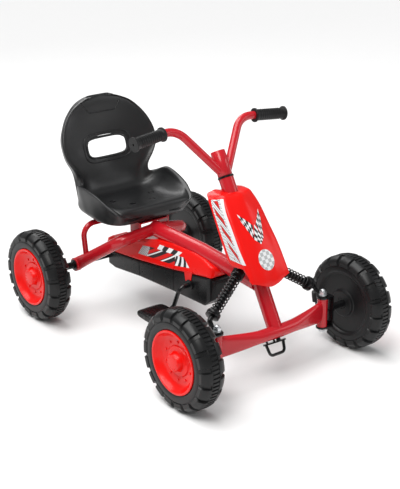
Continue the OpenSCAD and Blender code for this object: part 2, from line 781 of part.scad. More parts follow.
// Sprocket on the X axis; tooth tips stay under the chain's inner face
module sprocket(teeth, pitch_r, bore) {
  rotate([0, 90, 0]) difference() {
    union() {
      translate([0, 0, -1.5]) cylinder(h = 3, r = pitch_r - 4);
      for (i = [0:teeth - 1]) rotate([0, 0, 360 * i / teeth]) translate([0, 0, -1.5])
        linear_extrude(height = 3) polygon([[0, -4.4], [pitch_r - 4, -4.2], [pitch_r + 1.8, -1.2],
          [pitch_r + 1.8, 1.2], [pitch_r - 4, 4.2], [0, 4.4]]);
      translate([0, 0, -8]) cylinder(h = 16, r = bore + 5);
    }
    translate([0, 0, -10]) cylinder(h = 20, r = bore);
  }
}

module axle_sprocket() {
  color(zinc) translate([chain_x, rear_axle_y, axle_z]) sprocket(axle_teeth, axle_pitch_r, rear_axle_r);
}

module crank_sprocket() {
  color(zinc) translate([chain_x, crank_axis.y, crank_axis.z]) sprocket(crank_teeth, crank_pitch_r, crank_r);
}

module rear_axle_nuts() {
  color(zinc) for (side = [-1, 1]) out_to(side, rear_half_track + 9, rear_axle_y, axle_z) {
    ring(11, rear_axle_r, 1.5);
    translate([0, 0, 1.5]) difference() {
      hex(19, 8);
      translate([0, 0, -1]) cylinder(h = 10, r = rear_axle_r);
    }
  }
}

// Pedal spindle position: the right arm points down, the left one up
function spindle(side) = [crank_axis.x, crank_axis.y - side * crank_arm * sin(crank_rest),
  crank_axis.z + side * crank_arm * cos(crank_rest)];

module crank() {
  path = [for (side = [-1, 1]) for (x = side < 0 ? [pedal_outer_x, crank_arm_x] : [crank_arm_x, pedal_outer_x])
    [side * x, spindle(side).y, spindle(side).z]];
  axis = [for (side = [-1, 1]) [side * crank_arm_x, crank_axis.y, crank_axis.z]];
  color(black_paint) cranked_bar([path[0], path[1], axis[0], axis[1], path[2], path[3]], crank_r);
}

module pedal(side) {
  tilt = 2;
  w = pedal_outer_x - pedal_inner_x;
  color(black_plastic) translate([side * (pedal_inner_x + w / 2), spindle(side).y, spindle(side).z])
    rotate([tilt, 0, 0]) difference() {
      union() {
        hull() for (x = [-1, 1], y = [-1, 1]) {
          translate([x * (w / 2 - 6), y * 30, 2]) sphere(r = 6, $fn = 24);
          translate([x * (w / 2 - 6), y * 36, -6]) sphere(r = 6, $fn = 24);
        }
        rotate([0, 90, 0]) cylinder(h = w, r = 11, center = true);
      }
      rotate([0, 90, 0]) cylinder(h = w + 10, r = crank_r + run_gap, center = true);
    }
}

// Front wheel parts on their side of the kart
module front_place(side) {
  out_to(side, front_half_track, front_axle_y, axle_z) children();
}

// Rear wheel parts on their side of the kart
module rear_place(side) {
  out_to(side, rear_half_track, rear_axle_y, axle_z) children();
}

right = -1;
left = 1;

front_beam();
kingpin_tube(right);  // kingpin_tube_right
kingpin_tube(left);  // kingpin_tube_left
steering_column();
main_tube();
rear_fork(right);  // rear_fork_right
rear_fork(left);  // rear_fork_left
seat_hoop();
seat_bracket();
seat_shell();
seat_bolts();
fairing();
shock_bracket();
fairing_screws();
shock_strut(right);  // shock_strut_right
shock_strut(left);  // shock_strut_left
shock_spring(right);  // shock_spring_right
shock_spring(left);  // shock_spring_left
kingpin_bolt(right);  // kingpin_bolt_right
kingpin_bolt(left);  // kingpin_bolt_left
column_bush_top();
column_bush_bottom();
axle_bush(right);  // axle_bush_right
axle_bush(left);  // axle_bush_left
crank_bearings();
chain_cover_upper();
chain_case_lower();
chain_case_screws();
drive_chain();
handlebar();
grip(right);  // grip_right
grip(left);  // grip_left
stem_bolt();
steering_shaft();
knuckle(right);  // knuckle_right
knuckle(left);  // knuckle_left
front_axle_nut(right);  // front_axle_nut_right
front_axle_nut(left);  // front_axle_nut_left
tie_rod(right);  // tie_rod_right
tie_rod(left);  // tie_rod_left
color(black_plastic) front_place(right) wheel_body();  // front_tyre_right
color(black_plastic) front_place(left) wheel_body();  // front_tyre_left
color(red_plastic) front_place(right) hub_cap();  // front_hub_cap_right
color(red_plastic) front_place(left) hub_cap();  // front_hub_cap_left
color(black_plastic) front_place(right) wheel_bush(shaft_r + run_gap);  // front_wheel_bush_right
color(black_plastic) front_place(left) wheel_bush(shaft_r + run_gap);  // front_wheel_bush_left
rear_axle();
axle_spacers();
axle_sprocket();
rear_axle_nuts();
color(black_plastic) rear_place(right) wheel_body();  // rear_tyre_right
color(red_plastic) rear_place(right) hub_cap();  // rear_hub_cap_right
color(zinc) rear_place(right) wheel_bush(rear_axle_r);  // rear_drive_hub
color(black_plastic) rear_place(left) wheel_body();  // rear_tyre_left
color(red_plastic) rear_place(left) hub_cap();  // rear_hub_cap_left
color(black_plastic) rear_place(left) wheel_bush(rear_axle_r + run_gap);  // rear_wheel_bush_left
crank();
crank_sprocket();
pedal(right);  // pedal_right
pedal(left);  // pedal_left
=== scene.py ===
"""Pedal go kart: makes the visible pieces round the packed frame, laid out as an add-on."""

import json
import math

import bmesh
import bpy
import numpy as np
from bpy.props import FloatProperty, FloatVectorProperty, IntProperty, PointerProperty
from mathutils import Matrix, Vector
from mathutils.bvhtree import BVHTree


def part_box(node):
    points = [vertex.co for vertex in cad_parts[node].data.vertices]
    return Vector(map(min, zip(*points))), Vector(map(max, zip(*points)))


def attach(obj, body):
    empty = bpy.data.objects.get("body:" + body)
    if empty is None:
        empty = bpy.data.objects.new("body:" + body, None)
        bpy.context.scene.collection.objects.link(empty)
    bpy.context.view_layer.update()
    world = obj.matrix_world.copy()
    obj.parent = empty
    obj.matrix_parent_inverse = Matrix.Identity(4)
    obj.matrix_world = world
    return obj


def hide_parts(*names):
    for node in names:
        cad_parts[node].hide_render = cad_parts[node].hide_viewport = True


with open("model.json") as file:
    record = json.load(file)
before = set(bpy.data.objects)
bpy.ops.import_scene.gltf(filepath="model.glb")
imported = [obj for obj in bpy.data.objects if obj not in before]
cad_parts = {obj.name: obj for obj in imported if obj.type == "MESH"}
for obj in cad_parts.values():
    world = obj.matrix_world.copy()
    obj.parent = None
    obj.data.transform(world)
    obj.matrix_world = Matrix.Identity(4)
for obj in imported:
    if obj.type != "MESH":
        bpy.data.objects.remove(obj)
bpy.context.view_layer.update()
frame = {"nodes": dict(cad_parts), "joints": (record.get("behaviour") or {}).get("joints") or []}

bl_info = {
    "name": "Pedal Go Kart",
    "version": (1, 0, 0),
    "blender": (4, 5, 0),
    "location": "3D View > Sidebar > Kart",
    "description": "Builds a child's pedal go kart round its mechanical frame",
    "category": "Add Mesh",
}

MM = 0.001
WELD = 1e-6
SIDES = {"right": -1, "left": 1}

# Radii of the round bars, in metres
BEAM_R = 0.017
SPINE_R = 0.0225
HOOP_R = 0.008
HANDLE_R = 0.011
LOOP_R = 0.004
TIE_ROD_R = 0.003
CRANK_R = 0.006

# Shock ends in millimetres, depth of a shock's cup, and the crank's throw and rest angle
SHOCK_TOP, SHOCK_LOW = (50, -273, 273.5), (168, -309, 196)
CUP_DEPTH = 0.0161
CRANK_THROW, CRANK_TURN = 0.08, math.radians(24)


def node_middle(node):
    """Middle of a frame node's box."""
    low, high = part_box(node)
    return (low + high) / 2


def node_size(node):
    """Size of a frame node's box."""
    low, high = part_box(node)
    return high - low


# Sizes that the packed frame gives
WHEEL_R = node_size("front_tyre_right").z / 2
FRONT_AXLE_Y = node_middle("front_tyre_right").y
REAR_AXLE_Y = node_middle("rear_tyre_right").y
FRONT_TRACK = node_middle("front_tyre_left").x
REAR_TRACK = node_middle("rear_tyre_left").x
KINGPIN_X = node_middle("kingpin_tube_left").x
LEAN = next(j for j in frame["joints"] if j["name"] == "steering")["axis"]
COLUMN_FOOT = Vector((0, -0.361, 0.130))
COLUMN_AXIS = Vector(LEAN).normalized()
COLUMN_BACK = Vector((0, COLUMN_AXIS.z, -COLUMN_AXIS.y))


# ---------------------------------------------------------------- shapes


def mirrored(point, side):
    """A point given for the rider's left, moved to the given side."""
    return Vector((point[0] * side, point[1], point[2]))


def millimetres(points, side=1):
    """Points written in millimetres for the rider's left, as metre vectors on the given side."""
    return [mirrored(p, side) * MM for p in points]


def on_column(x, back, along):
    """Point beside the steering column, in millimetres from its foot."""
    return Vector((x * MM, 0, 0)) + COLUMN_FOOT + COLUMN_BACK * back * MM + COLUMN_AXIS * along * MM


def rounded_line(points, bend, steps=10):
    """Line through the points with every inner corner bent to the given radius."""
    line = [points[0]]
    for a, b, c in zip(points, points[1:], points[2:]):
        come, go = (b - a).normalized(), (c - b).normalized()
        turn = come.angle(go)
        if turn < 1e-3:
            line.append(b)
            continue
        side = (go - come * come.dot(go)).normalized()
        middle = b - come * bend * math.tan(turn / 2) + side * bend
        for k in range(steps + 1):
            t = turn * k / steps
            line.append(middle - side * bend * math.cos(t) + come * bend * math.sin(t))
    line.append(points[-1])
    return line


def spread_line(line, step):
    """The same line with points no further apart than step."""
    out = [line[0]]
    for a, b in zip(line, line[1:]):
        n = max(1, math.ceil((b - a).length / step))
        out += [a.lerp(b, k / n) for k in range(1, n + 1)]
    return out


def ring_faces(rows, columns, close_rows=False):
    """Quads between rings of points; the ring order runs round, the rows follow each other."""
    faces = []
    for i in range(rows if close_rows else rows - 1):
        a, b = i * columns, (i + 1) % rows * columns
        for k in range(columns):
            n = (k + 1) % columns
            faces.append((a + k, a + n, b + n, b + k))
    return faces


def sheet_faces(rows, columns):
    """Quads of an open sheet of points, row after row."""
    return [
        (i * columns + j, i * columns + j + 1, (i + 1) * columns + j + 1, (i + 1) * columns + j)
        for i in range(rows - 1) for j in range(columns - 1)
    ]


def swept(line, section, sides=32, across=Vector((0, 0, 1)), closed=False):
    """Bar along a line. section(i, t) gives half width, half height and corner power at point i."""
    points, last = [], len(line) - 1
    for i, p in enumerate(line):
        if closed:
            d = (line[(i + 1) % len(line)] - line[i - 1]).normalized()
        else:
            d = (line[min(i + 1, last)] - line[max(i - 1, 0)]).normalized()
        e1 = across.cross(d).normalized()
        e2 = d.cross(e1)
        wide, high, power = section(i, i / last)
        for k in range(sides):
            a = 2 * math.pi * k / sides
            c, s = math.cos(a), math.sin(a)
            c, s = math.copysign(abs(c) ** power, c), math.copysign(abs(s) ** power, s)
            points.append(p + e1 * wide * c + e2 * high * s)
    faces = ring_faces(len(line), sides, closed)
    if not closed:
        faces += [tuple(range(sides)), tuple(last * sides + k for k in range(sides - 1, -1, -1))]
    return points, faces


def round_bar(line, radius, sides=32, across=Vector((0, 0, 1)), closed=False):
    """Round bar of one radius along a line."""
    return swept(line, lambda i, t: (radius, radius, 1), sides, across, closed)


def turned(profile, sides=96, closed=True):
    """Solid turned round Z from (radius, height) points in millimetres, as metre points."""
    points, faces = [], []
    rows = len(profile)
    for r, z in profile:
        for k in range(sides):
            a = 2 * math.pi * k / sides
            points.append(Vector((r * math.cos(a), r * math.sin(a), z)) * MM)
    faces = ring_faces(rows, sides, closed)
    if not closed:
        faces += [tuple(range(sides - 1, -1, -1)), tuple((rows - 1) * sides + k for k in range(sides))]
    return points, faces


def joined(*shapes):
    """Several (points, faces) shapes as one."""
    points, faces = [], []
    for p, f in shapes:
        start = len(points)
        points += list(p)
        faces += [tuple(v + start for v in face) for face in f]
    return points, faces


def moved(shape, matrix):
    """A shape with its points put through a matrix."""
    return [matrix @ p for p in shape[0]], shape[1]


def facing(point, direction):
    """Matrix that stands local Z along a direction at a point."""
    turn = Vector(direction).to_track_quat("Z", "Y").to_matrix().to_4x4()
    return Matrix.Translation(point) @ turn


def outward(side, x, y, z):
    """Matrix that points local Z out to one side of the kart."""
    return Matrix.Translation((side * x, y, z)) @ Matrix.Rotation(side * math.pi / 2, 4, "Y")


def smooth_through(points, samples, closed=False):
    """Smooth curve through points (rows of an array), sampled evenly by index."""
    points = np.asarray(points, float)
    n = len(points)
    spans = n if closed else n - 1
    out = []
    for t in np.linspace(0, spans, samples, endpoint=not closed):
        i = min(int(t), spans - 1)
        f = t - i
        if closed:
            p0, p1, p2, p3 = (points[(i + k) % n] for k in (-1, 0, 1, 2))
        else:
            p0, p1, p2, p3 = (points[min(max(i + k, 0), n - 1)] for k in (-1, 0, 1, 2))
        m1, m2 = (p2 - p0) / 2, (p3 - p1) / 2
        out.append(
            (2 * f**3 - 3 * f**2 + 1) * p1 + (f**3 - 2 * f**2 + f) * m1
            + (3 * f**2 - 2 * f**3) * p2 + (f**3 - f**2) * m2
        )
    return np.array(out)


# ---------------------------------------------------------------- pieces


def face_out(mesh, weld=0.0):
    """Turns every face of a closed mesh outwards, after a merge of points nearer than weld."""
    work = bmesh.new()
    work.from_mesh(mesh)
    if weld:
        bmesh.ops.remove_doubles(work, verts=work.verts, dist=weld)
    bmesh.ops.recalc_face_normals(work, faces=work.faces)
    work.to_mesh(mesh)
    work.free()


def new_mesh(name, shape):
    """Mesh of a (points, faces) shape, with its doubles merged and its faces pointing out."""
    mesh = bpy.data.meshes.new(name)
    mesh.from_pydata([tuple(p) for p in shape[0]], [], [list(f) for f in shape[1]])
    face_out(mesh, WELD)
    return mesh


def evaluated(mesh, *modifiers):
    """The mesh after modifiers given as (type, {setting or tree input: value})."""
    work = bpy.data.objects.new("work", mesh)
    bpy.context.scene.collection.objects.link(work)
    for kind, settings in modifiers:
        modifier = work.modifiers.new(kind.lower(), kind)
        for key, value in settings.items():
            if hasattr(modifier, key):
                setattr(modifier, key, value)
            else:
                modifier[key] = value
    graph = bpy.context.evaluated_depsgraph_get()
    result = bpy.data.meshes.new_from_object(work.evaluated_get(graph))
    work.modifiers.clear()
    bpy.data.objects.remove(work)
    return result


def carved(mesh, *cutters, careful=False):
    """The mesh with the cutter shapes taken away."""
    face_out(mesh)
    tools, cuts = [], []
    for shape in cutters:
        tool = bpy.data.objects.new("cutter", new_mesh("cutter", shape))
        bpy.context.scene.collection.objects.link(tool)
        tools.append(tool)
        cuts.append(("BOOLEAN", {
            "object": tool, "operation": "DIFFERENCE", "solver": "EXACT", "use_self": careful}))
    result = evaluated(mesh, *cuts)
    for tool in tools:
        bpy.data.objects.remove(tool)
    return result


def place_piece(name, mesh, body, slot, stands_for=(), sharp=35, material=None):
    """Puts a finished mesh in the scene as a piece that rides on a body, in its slot's finish."""
    mesh.name = name
    if not mesh.materials or mesh.materials[0] is None:
        mesh.materials.clear()
        mesh.materials.append(material or finish(slot))
    mesh.shade_smooth()
    mesh.set_sharp_from_angle(angle=math.radians(sharp))
    piece = bpy.data.objects.new(name, mesh)
    bpy.context.scene.collection.objects.link(piece)
    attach(piece, body)
    if stands_for:
        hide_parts(*stands_for)
    return piece


def add_piece(name, shape, body, slot, stands_for=(), sharp=35):
    """Makes a piece straight from a shape."""
    return place_piece(name, new_mesh(name, shape), body, slot, stands_for, sharp)


# ---------------------------------------------------------------- repeats


def add_node(tree, kind, inputs=None, operation=None):
    """Adds a node; each input is a socket to link from, or a value."""
    node = tree.nodes.new(kind)
    if operation:
        node.operation = operation
    for key, value in (inputs or {}).items():
        if isinstance(value, bpy.types.NodeSocket):
            tree.links.new(value, node.inputs[key])
        else:
            node.inputs[key].default_value = value
    return node


def new_tree(name, sockets):
    """Empty geometry tree with named inputs, and the outputs of its input node."""
    tree = bpy.data.node_groups.new(name, "GeometryNodeTree")
    tree.interface.new_socket(name="Geometry", in_out="INPUT", socket_type="NodeSocketGeometry")
    for label, kind, value in sockets:
        tree.interface.new_socket(name=label, in_out="INPUT", socket_type=kind).default_value = value
    tree.interface.new_socket(name="Material", in_out="INPUT", socket_type="NodeSocketMaterial")
    tree.interface.new_socket(name="Geometry", in_out="OUTPUT", socket_type="NodeSocketGeometry")
    return tree, add_node(tree, "NodeGroupInput").outputs


def end_tree(tree, given, instances):
    """Realises the instances, merges doubles, sets the material and ends the tree."""
    real = add_node(tree, "GeometryNodeRealizeInstances", {"Geometry": instances})
    weld = add_node(tree, "GeometryNodeMergeByDistance", {"Geometry": real.outputs[0], "Distance": WELD})
    coat = add_node(tree, "GeometryNodeSetMaterial", {
        "Geometry": weld.outputs[0], "Material": given["Material"]})
    add_node(tree, "NodeGroupOutput", {"Geometry": coat.outputs[0]})
    return tree


def ring_of_copies():
    """Tree that turns copies of its input evenly round Z."""
    tree, given = new_tree("Ring of copies", [("Copies", "NodeSocketInt", 10)])
    seats = add_node(tree, "GeometryNodeMeshLine", {"Count": given["Copies"], "Offset": (0, 0, 0)})
    index = add_node(tree, "GeometryNodeInputIndex")
    share = add_node(tree, "ShaderNodeMath", {0: index.outputs["Index"], 1: given["Copies"]}, "DIVIDE")
    turn = add_node(tree, "ShaderNodeMath", {0: share.outputs[0], 1: 2 * math.pi}, "MULTIPLY")
    spin = add_node(tree, "ShaderNodeCombineXYZ", {"Z": turn.outputs[0]})
    copies = add_node(tree, "GeometryNodeInstanceOnPoints", {
        "Points": seats.outputs["Mesh"], "Instance": given["Geometry"], "Rotation": spin.outputs["Vector"]})
    return end_tree(tree, given, copies.outputs["Instances"])


def row_of_copies():
    """Tree that repeats its input along a straight step."""
    tree, given = new_tree(
        "Row of copies", [("Copies", "NodeSocketInt", 10), ("Step", "NodeSocketVector", (0, 0, 0.01))])
    seats = add_node(tree, "GeometryNodeMeshLine", {"Count": given["Copies"], "Offset": given["Step"]})
    copies = add_node(tree, "GeometryNodeInstanceOnPoints", {
        "Points": seats.outputs["Mesh"], "Instance": given["Geometry"]})
    return end_tree(tree, given, copies.outputs["Instances"])


def coil_of_wire():
    """Tree that winds round wire into a coil that rises along Z."""
    tree, given = new_tree(
        "Coil of wire",
        [("Turns", "NodeSocketFloat", 11.0), ("Coil radius", "NodeSocketFloat", 0.013),
         ("Height", "NodeSocketFloat", 0.1), ("Wire radius", "NodeSocketFloat", 0.002)])
    spiral = add_node(tree, "GeometryNodeCurveSpiral", {
        "Resolution": 28, "Rotations": given["Turns"], "Start Radius": given["Coil radius"],
        "End Radius": given["Coil radius"], "Height": given["Height"]})
    wire = add_node(tree, "GeometryNodeCurvePrimitiveCircle", {
        "Resolution": 12, "Radius": given["Wire radius"]})
    solid = add_node(tree, "GeometryNodeCurveToMesh", {
        "Curve": spiral.outputs["Curve"], "Profile Curve": wire.outputs["Curve"], "Fill Caps": True})
    return end_tree(tree, given, solid.outputs["Mesh"])


def repeated(mesh, tree_maker, **settings):
    """Plain mesh that a repeat tree makes from a mesh, with the tree's inputs set by name."""
    tree = bpy.data.node_groups.get(tree_maker.__doc__) or tree_maker()
    tree.name = tree_maker.__doc__
    inputs = {}
    for item in tree.interface.items_tree:
        key = item.name.lower().replace(" ", "_")
        if item.in_out == "INPUT" and key in settings:
            inputs[item.identifier] = settings[key]
    return evaluated(mesh, ("NODES", {"node_group": tree, **inputs}))


def merged_mesh(name, *meshes):
    """Several meshes as one, keeping the first one's material."""
    whole = bmesh.new()
    for mesh in meshes:
        whole.from_mesh(mesh)
    material = meshes[0].materials[0] if meshes[0].materials else None
    mesh = bpy.data.meshes.new(name)
    for face in whole.faces:
        face.material_index = 0
    bmesh.ops.recalc_face_normals(whole, faces=whole.faces)
    whole.to_mesh(mesh)
    whole.free()
    if material:
        mesh.materials.append(material)
    return mesh


# ---------------------------------------------------------------- materials


def make_material(name, colour, roughness, metallic=0.0, coat=0.0, scatter=0.06, grain=700.0,
                  relief=0.00004, mirror=0.3):
    """Plain finish with slight unevenness in colour and gloss, and a fine surface grain."""
    found = bpy.data.materials.get(name)
    if found:
        return found
    material = bpy.data.materials.new(name)
    material.use_nodes = True
    tree = material.node_tree
    tree.nodes.clear()
    place = add_node(tree, "ShaderNodeTexCoord").outputs["Object"]
    broad = add_node(tree, "ShaderNodeTexNoise", {"Scale": 14.0, "Detail": 3.0, "Vector": place})
    tint = tree.nodes.new("ShaderNodeMix")
    tint.data_type = "RGBA"
    tint.inputs["A"].default_value = (*[c * (1 - scatter) for c in colour], 1)
    tint.inputs["B"].default_value = (*[min(1.0, c * (1 + scatter)) for c in colour], 1)
    tree.links.new(broad.outputs["Fac"], tint.inputs["Factor"])
    gloss = add_node(tree, "ShaderNodeMapRange", {
        "Value": broad.outputs["Fac"], "To Min": roughness * 0.9, "To Max": min(1.0, roughness * 1.12)})
    fine = add_node(tree, "ShaderNodeTexNoise", {"Scale": grain, "Vector": place})
    bump = add_node(tree, "ShaderNodeBump", {
        "Strength": 0.6, "Distance": relief, "Height": fine.outputs["Fac"]})
    shader = add_node(tree, "ShaderNodeBsdfPrincipled", {
        "Base Color": tint.outputs["Result"], "Roughness": gloss.outputs["Result"], "Metallic": metallic,
        "Normal": bump.outputs["Normal"], "Coat Weight": coat, "Coat Roughness": 0.08,
        "Specular IOR Level": mirror})
    add_node(tree, "ShaderNodeOutputMaterial", {"Surface": shader.outputs["BSDF"]})
    return material


# Finish of each slot: the material's name, colour, roughness and other settings
FINISHES = {
    "red_paint": (
        "Red frame paint", (0.50, 0.008, 0.016), 0.24, {"coat": 0.4, "grain": 260, "relief": 0.00002}),
    "red_plastic": (
        "Red moulded plastic", (0.76, 0.005, 0.003), 0.28, {"coat": 0.08, "scatter": 0.03, "mirror": 0.25}),
    "seat_plastic": (
        "Moulded bucket plastic", (0.008, 0.0083, 0.009), 0.34,
        {"scatter": 0.15, "grain": 1500, "relief": 0.00006, "mirror": 0.55}),
    "tyre_plastic": (
        "Tyre plastic", (0.007, 0.0072, 0.0077), 0.36, {"scatter": 0.2, "grain": 900, "relief": 0.00006}),
    "black_plastic": ("Black plastic", (0.0055, 0.0055, 0.006), 0.27, {"scatter": 0.12, "mirror": 0.25}),
    "black_paint": ("Black paint", (0.006, 0.006, 0.0066), 0.22, {"coat": 0.15}),
    "grip_rubber": (
        "Grip rubber", (0.008, 0.008, 0.0085), 0.42, {"scatter": 0.2, "grain": 1400, "relief": 0.00006}),
    "zinc": (
        "Zinc plate", (0.62, 0.64, 0.66), 0.3,
        {"metallic": 1.0, "scatter": 0.1, "grain": 500, "mirror": 0.5}),
}


def finish(slot):
    """Material of a slot."""
    name, colour, roughness, extra = FINISHES[slot]
    return make_material(name, colour, roughness, **extra)


def film_material(name, pattern):
    """Printed film with the colour that pattern(tree, uv) gives; runs on the piece's own UV, in metres."""
    found = bpy.data.materials.get(name)
    if found:
        return found
    material = bpy.data.materials.new(name)
    material.use_nodes = True
    tree = material.node_tree
    shader = tree.nodes["Principled BSDF"]
    shader.inputs["Roughness"].default_value = 0.3
    place = tree.nodes.new("ShaderNodeUVMap")
    place.uv_map = "film"
    tree.links.new(pattern(tree, place.outputs["UV"]), shader.inputs["Base Color"])
    return material


def striped_decal(name, pitch, bands, turn=0.0):
    """Printed film with parallel bands, as (share of the pitch, colour)."""
    def pattern(tree, uv):
        spin = add_node(tree, "ShaderNodeMapping", {"Vector": uv, "Rotation": (0, 0, turn)})
        parts = add_node(tree, "ShaderNodeSeparateXYZ", {"Vector": spin.outputs["Vector"]})
        wrap = add_node(tree, "ShaderNodeMath", {0: parts.outputs["X"], 1: pitch}, "FLOORED_MODULO")
        share = add_node(tree, "ShaderNodeMath", {0: wrap.outputs[0], 1: pitch}, "DIVIDE")
        ramp = add_node(tree, "ShaderNodeValToRGB", {"Fac": share.outputs[0]})
        ramp.color_ramp.interpolation = "CONSTANT"
        stops = ramp.color_ramp.elements
        while len(stops) < len(bands):
            stops.new(1.0)
        for stop, (start, colour) in zip(stops, bands):
            stop.position = start
            stop.color = (*colour, 1)
        return ramp.outputs["Color"]

    return film_material(name, pattern)


def chequer_decal(name, dark, light, size):
    """Printed film with a chequer of the given size."""
    return film_material(name, lambda tree, uv: add_node(tree, "ShaderNodeTexChecker", {
        "Scale": 1 / size, "Color1": (*dark, 1), "Color2": (*light, 1), "Vector": uv}).outputs["Color"])


WHITE = (0.75, 0.76, 0.77)
GREY = (0.10, 0.104, 0.108)
PALE = (0.42, 0.43, 0.44)
DARK = (0.02, 0.02, 0.022)
SIGNAL = (0.62, 0.012, 0.010)


# ---------------------------------------------------------------- operators


class KartSettings(bpy.types.PropertyGroup):
    """Adjustable sizes of the kart's visible pieces."""

    lugs: IntProperty(
        name="Lugs", description="Lugs round each shoulder of a tyre", default=18, min=6, max=40)
    ribs_per_lug: IntProperty(
        name="Ribs per lug", description="Fine ribs across the tread for each lug", default=4, min=1, max=8)
    groove_floor: FloatProperty(
        name="Groove floor", description="Half angle of a groove's floor between lugs",
        default=math.radians(1.9), subtype="ANGLE", unit="ROTATION")
    groove_top: FloatProperty(
        name="Groove mouth", description="Half angle of a groove's mouth between lugs",
        default=math.radians(3.1), subtype="ANGLE", unit="ROTATION")
    bolts: IntProperty(
        name="Cover bolts", description="Bolt heads round a wheel cover", default=10, min=3, max=20)
    studs: IntProperty(
        name="Boss studs", description="Small studs on a cover's boss", default=12, min=0, max=24)
    coil_turns: FloatProperty(name="Coil turns", description="Turns of a shock spring", default=11.0, min=3)
    wire_radius: FloatProperty(
        name="Wire radius", description="Radius of the spring wire", default=0.0019, unit="LENGTH")
    grip_rings: IntProperty(
        name="Grip rings", description="Raised rings along a grip", default=10, min=0, max=20)
    skin: FloatProperty(name="Fairing skin", description="Wall of the fairing", default=0.0025, unit="LENGTH")
    film: FloatProperty(
        name="Film", description="Height of a decal over its surface", default=0.0003, unit="LENGTH")
    floor_colour: FloatVectorProperty(
        name="Floor", description="Colour of the floor and backdrop", default=(0.86, 0.86, 0.86), size=3,
        subtype="COLOR")


def settings():
    """The kart's settings on the current scene."""
    return bpy.context.scene.kart_settings


def beam_line(steps=64):
    """Centre line of the bowed front beam, from the rider's right to the left."""
    low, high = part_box("front_beam")
    bow = low.y + BEAM_R
    span, depth = KINGPIN_X, FRONT_AXLE_Y - bow
    radius = (span**2 + depth**2) / (2 * depth)
    turn = math.asin(high.x / radius)
    middle = (low.z + high.z) / 2
    return [
        Vector((radius * math.sin(a), bow + radius * (1 - math.cos(a)), middle))
        for a in (turn * (2 * k / steps - 1) for k in range(steps + 1))
    ]


def fork_line(side):
    """Centre line of a rear fork tube, from the main tube back to the axle."""
    points = millimetres([(0, 152, 263), (112, 175, 240), (150, 346, 130)], side)
    return rounded_line(points, 0.04, 14)


class KART_OT_frame_tubes(bpy.types.Operator):
    """Builds the painted tubes of the frame"""

    bl_idname = "kart.frame_tubes"
    bl_label = "Frame tubes"

    def execute(self, context):
        """Adds the beam, column, main tube, forks and seat hoop."""
        line = beam_line()

        def flattened(i, t):
            out = max(0.0, abs(line[i].x) - 0.06) / (line[-1].x - 0.06)
            return BEAM_R - 0.008 * out, BEAM_R + 0.012 * out, 1 - 0.35 * out

        add_piece("beam", swept(line, flattened, 48), "chassis", "red_paint", ["front_beam"], 50)
        for name, side in SIDES.items():
            node = "kingpin_tube_" + name
            low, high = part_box(node)
            tall = (high.z - low.z) / 2 / MM
            tube = turned([(5.1, -tall), (13.2, -tall), (14, -tall + 0.8), (14, tall - 0.8), (13.2, tall),
                           (5.1, tall)], 48)
            add_piece(node + "_skin", moved(tube, Matrix.Translation((low + high) / 2)), "chassis",
                      "red_paint", [node])
            fork = fork_line(side)
            eye = (fork[-1] - fork[-2]).normalized()
            path = spread_line(fork[:-1], 0.006) + [
                fork[-1] - eye * 0.075, fork[-1] - eye * 0.045, fork[-1] - eye * 0.018, fork[-1]]
            last = len(path) - 1

            def squeezed(i, t):
                flat = min(1.0, max(0.0, (i - last + 3) / 2))
                return BEAM_R - 0.0095 * flat, BEAM_R + 0.002 * flat, 1 - 0.3 * flat

            ring = turned([(12, -7.5), (19.2, -7.5), (20, -6.7), (20, 6.7), (19.2, 7.5), (12, 7.5)], 48)
            ring = moved(ring, outward(side, 0.150, REAR_AXLE_Y, WHEEL_R))
            add_piece("fork_" + name, joined(swept(path, squeezed, 40), ring), "chassis", "red_paint",
                      ["rear_fork_" + name], 40)
        column = turned([(18.2, 0), (20, 0), (20, 411.2), (19.2, 412), (18.2, 412)], 64)
        stand = facing(COLUMN_FOOT, COLUMN_AXIS)
        add_piece("column_tube", moved(column, stand), "chassis", "red_paint", ["steering_column"])
        spine = rounded_line(millimetres([(0, 158, 262), (0, -60, 257), (0, -292, 238.6)]), 0.3, 10)
        tube = round_bar(spread_line(spine, 0.01), SPINE_R, 56, Vector((1, 0, 0)))
        add_piece("spine_tube", tube, "chassis", "red_paint", ["main_tube"], 50)
        hoop = rounded_line(millimetres(
            [(-140.5, 305, 166), (-152, 300, 265), (152, 300, 265), (140.5, 305, 166)]), 0.034, 16)
        bars = [round_bar(spread_line(hoop, 0.01), HOOP_R, 28, Vector((0, 1, 0)))]
        for side in SIDES.values():
            flange, lip = [(y, 283) for y in (256, 301)], [(298, z) for z in (268, 283)]
            for (a, b), depth in ((flange, (0, 0, 3)), (lip, (0, 3, 0))):
                bars.append(plate([(54, *a), (82, *a), (82, *b), (54, *b)], depth, side))
        add_piece("hoop", joined(*bars), "chassis", "red_paint", ["seat_hoop"], 40)
        return {"FINISHED"}


def plate(corners, depth, side=1):
    """Flat plate from a polygon in millimetres and a thickness vector."""
    base = millimetres(corners, side)
    rise = mirrored(depth, side) * MM
    n = len(base)
    points = base + [p + rise for p in base]
    faces = ring_faces(2, n) + [tuple(range(n)), tuple(range(2 * n - 1, n - 1, -1))]
    return points, faces


def rectangle(x0, x1, y0, y1, z):
    """Corners of a level rectangle."""
    return [(x0, y0, z), (x1, y0, z), (x1, y1, z), (x0, y1, z)]


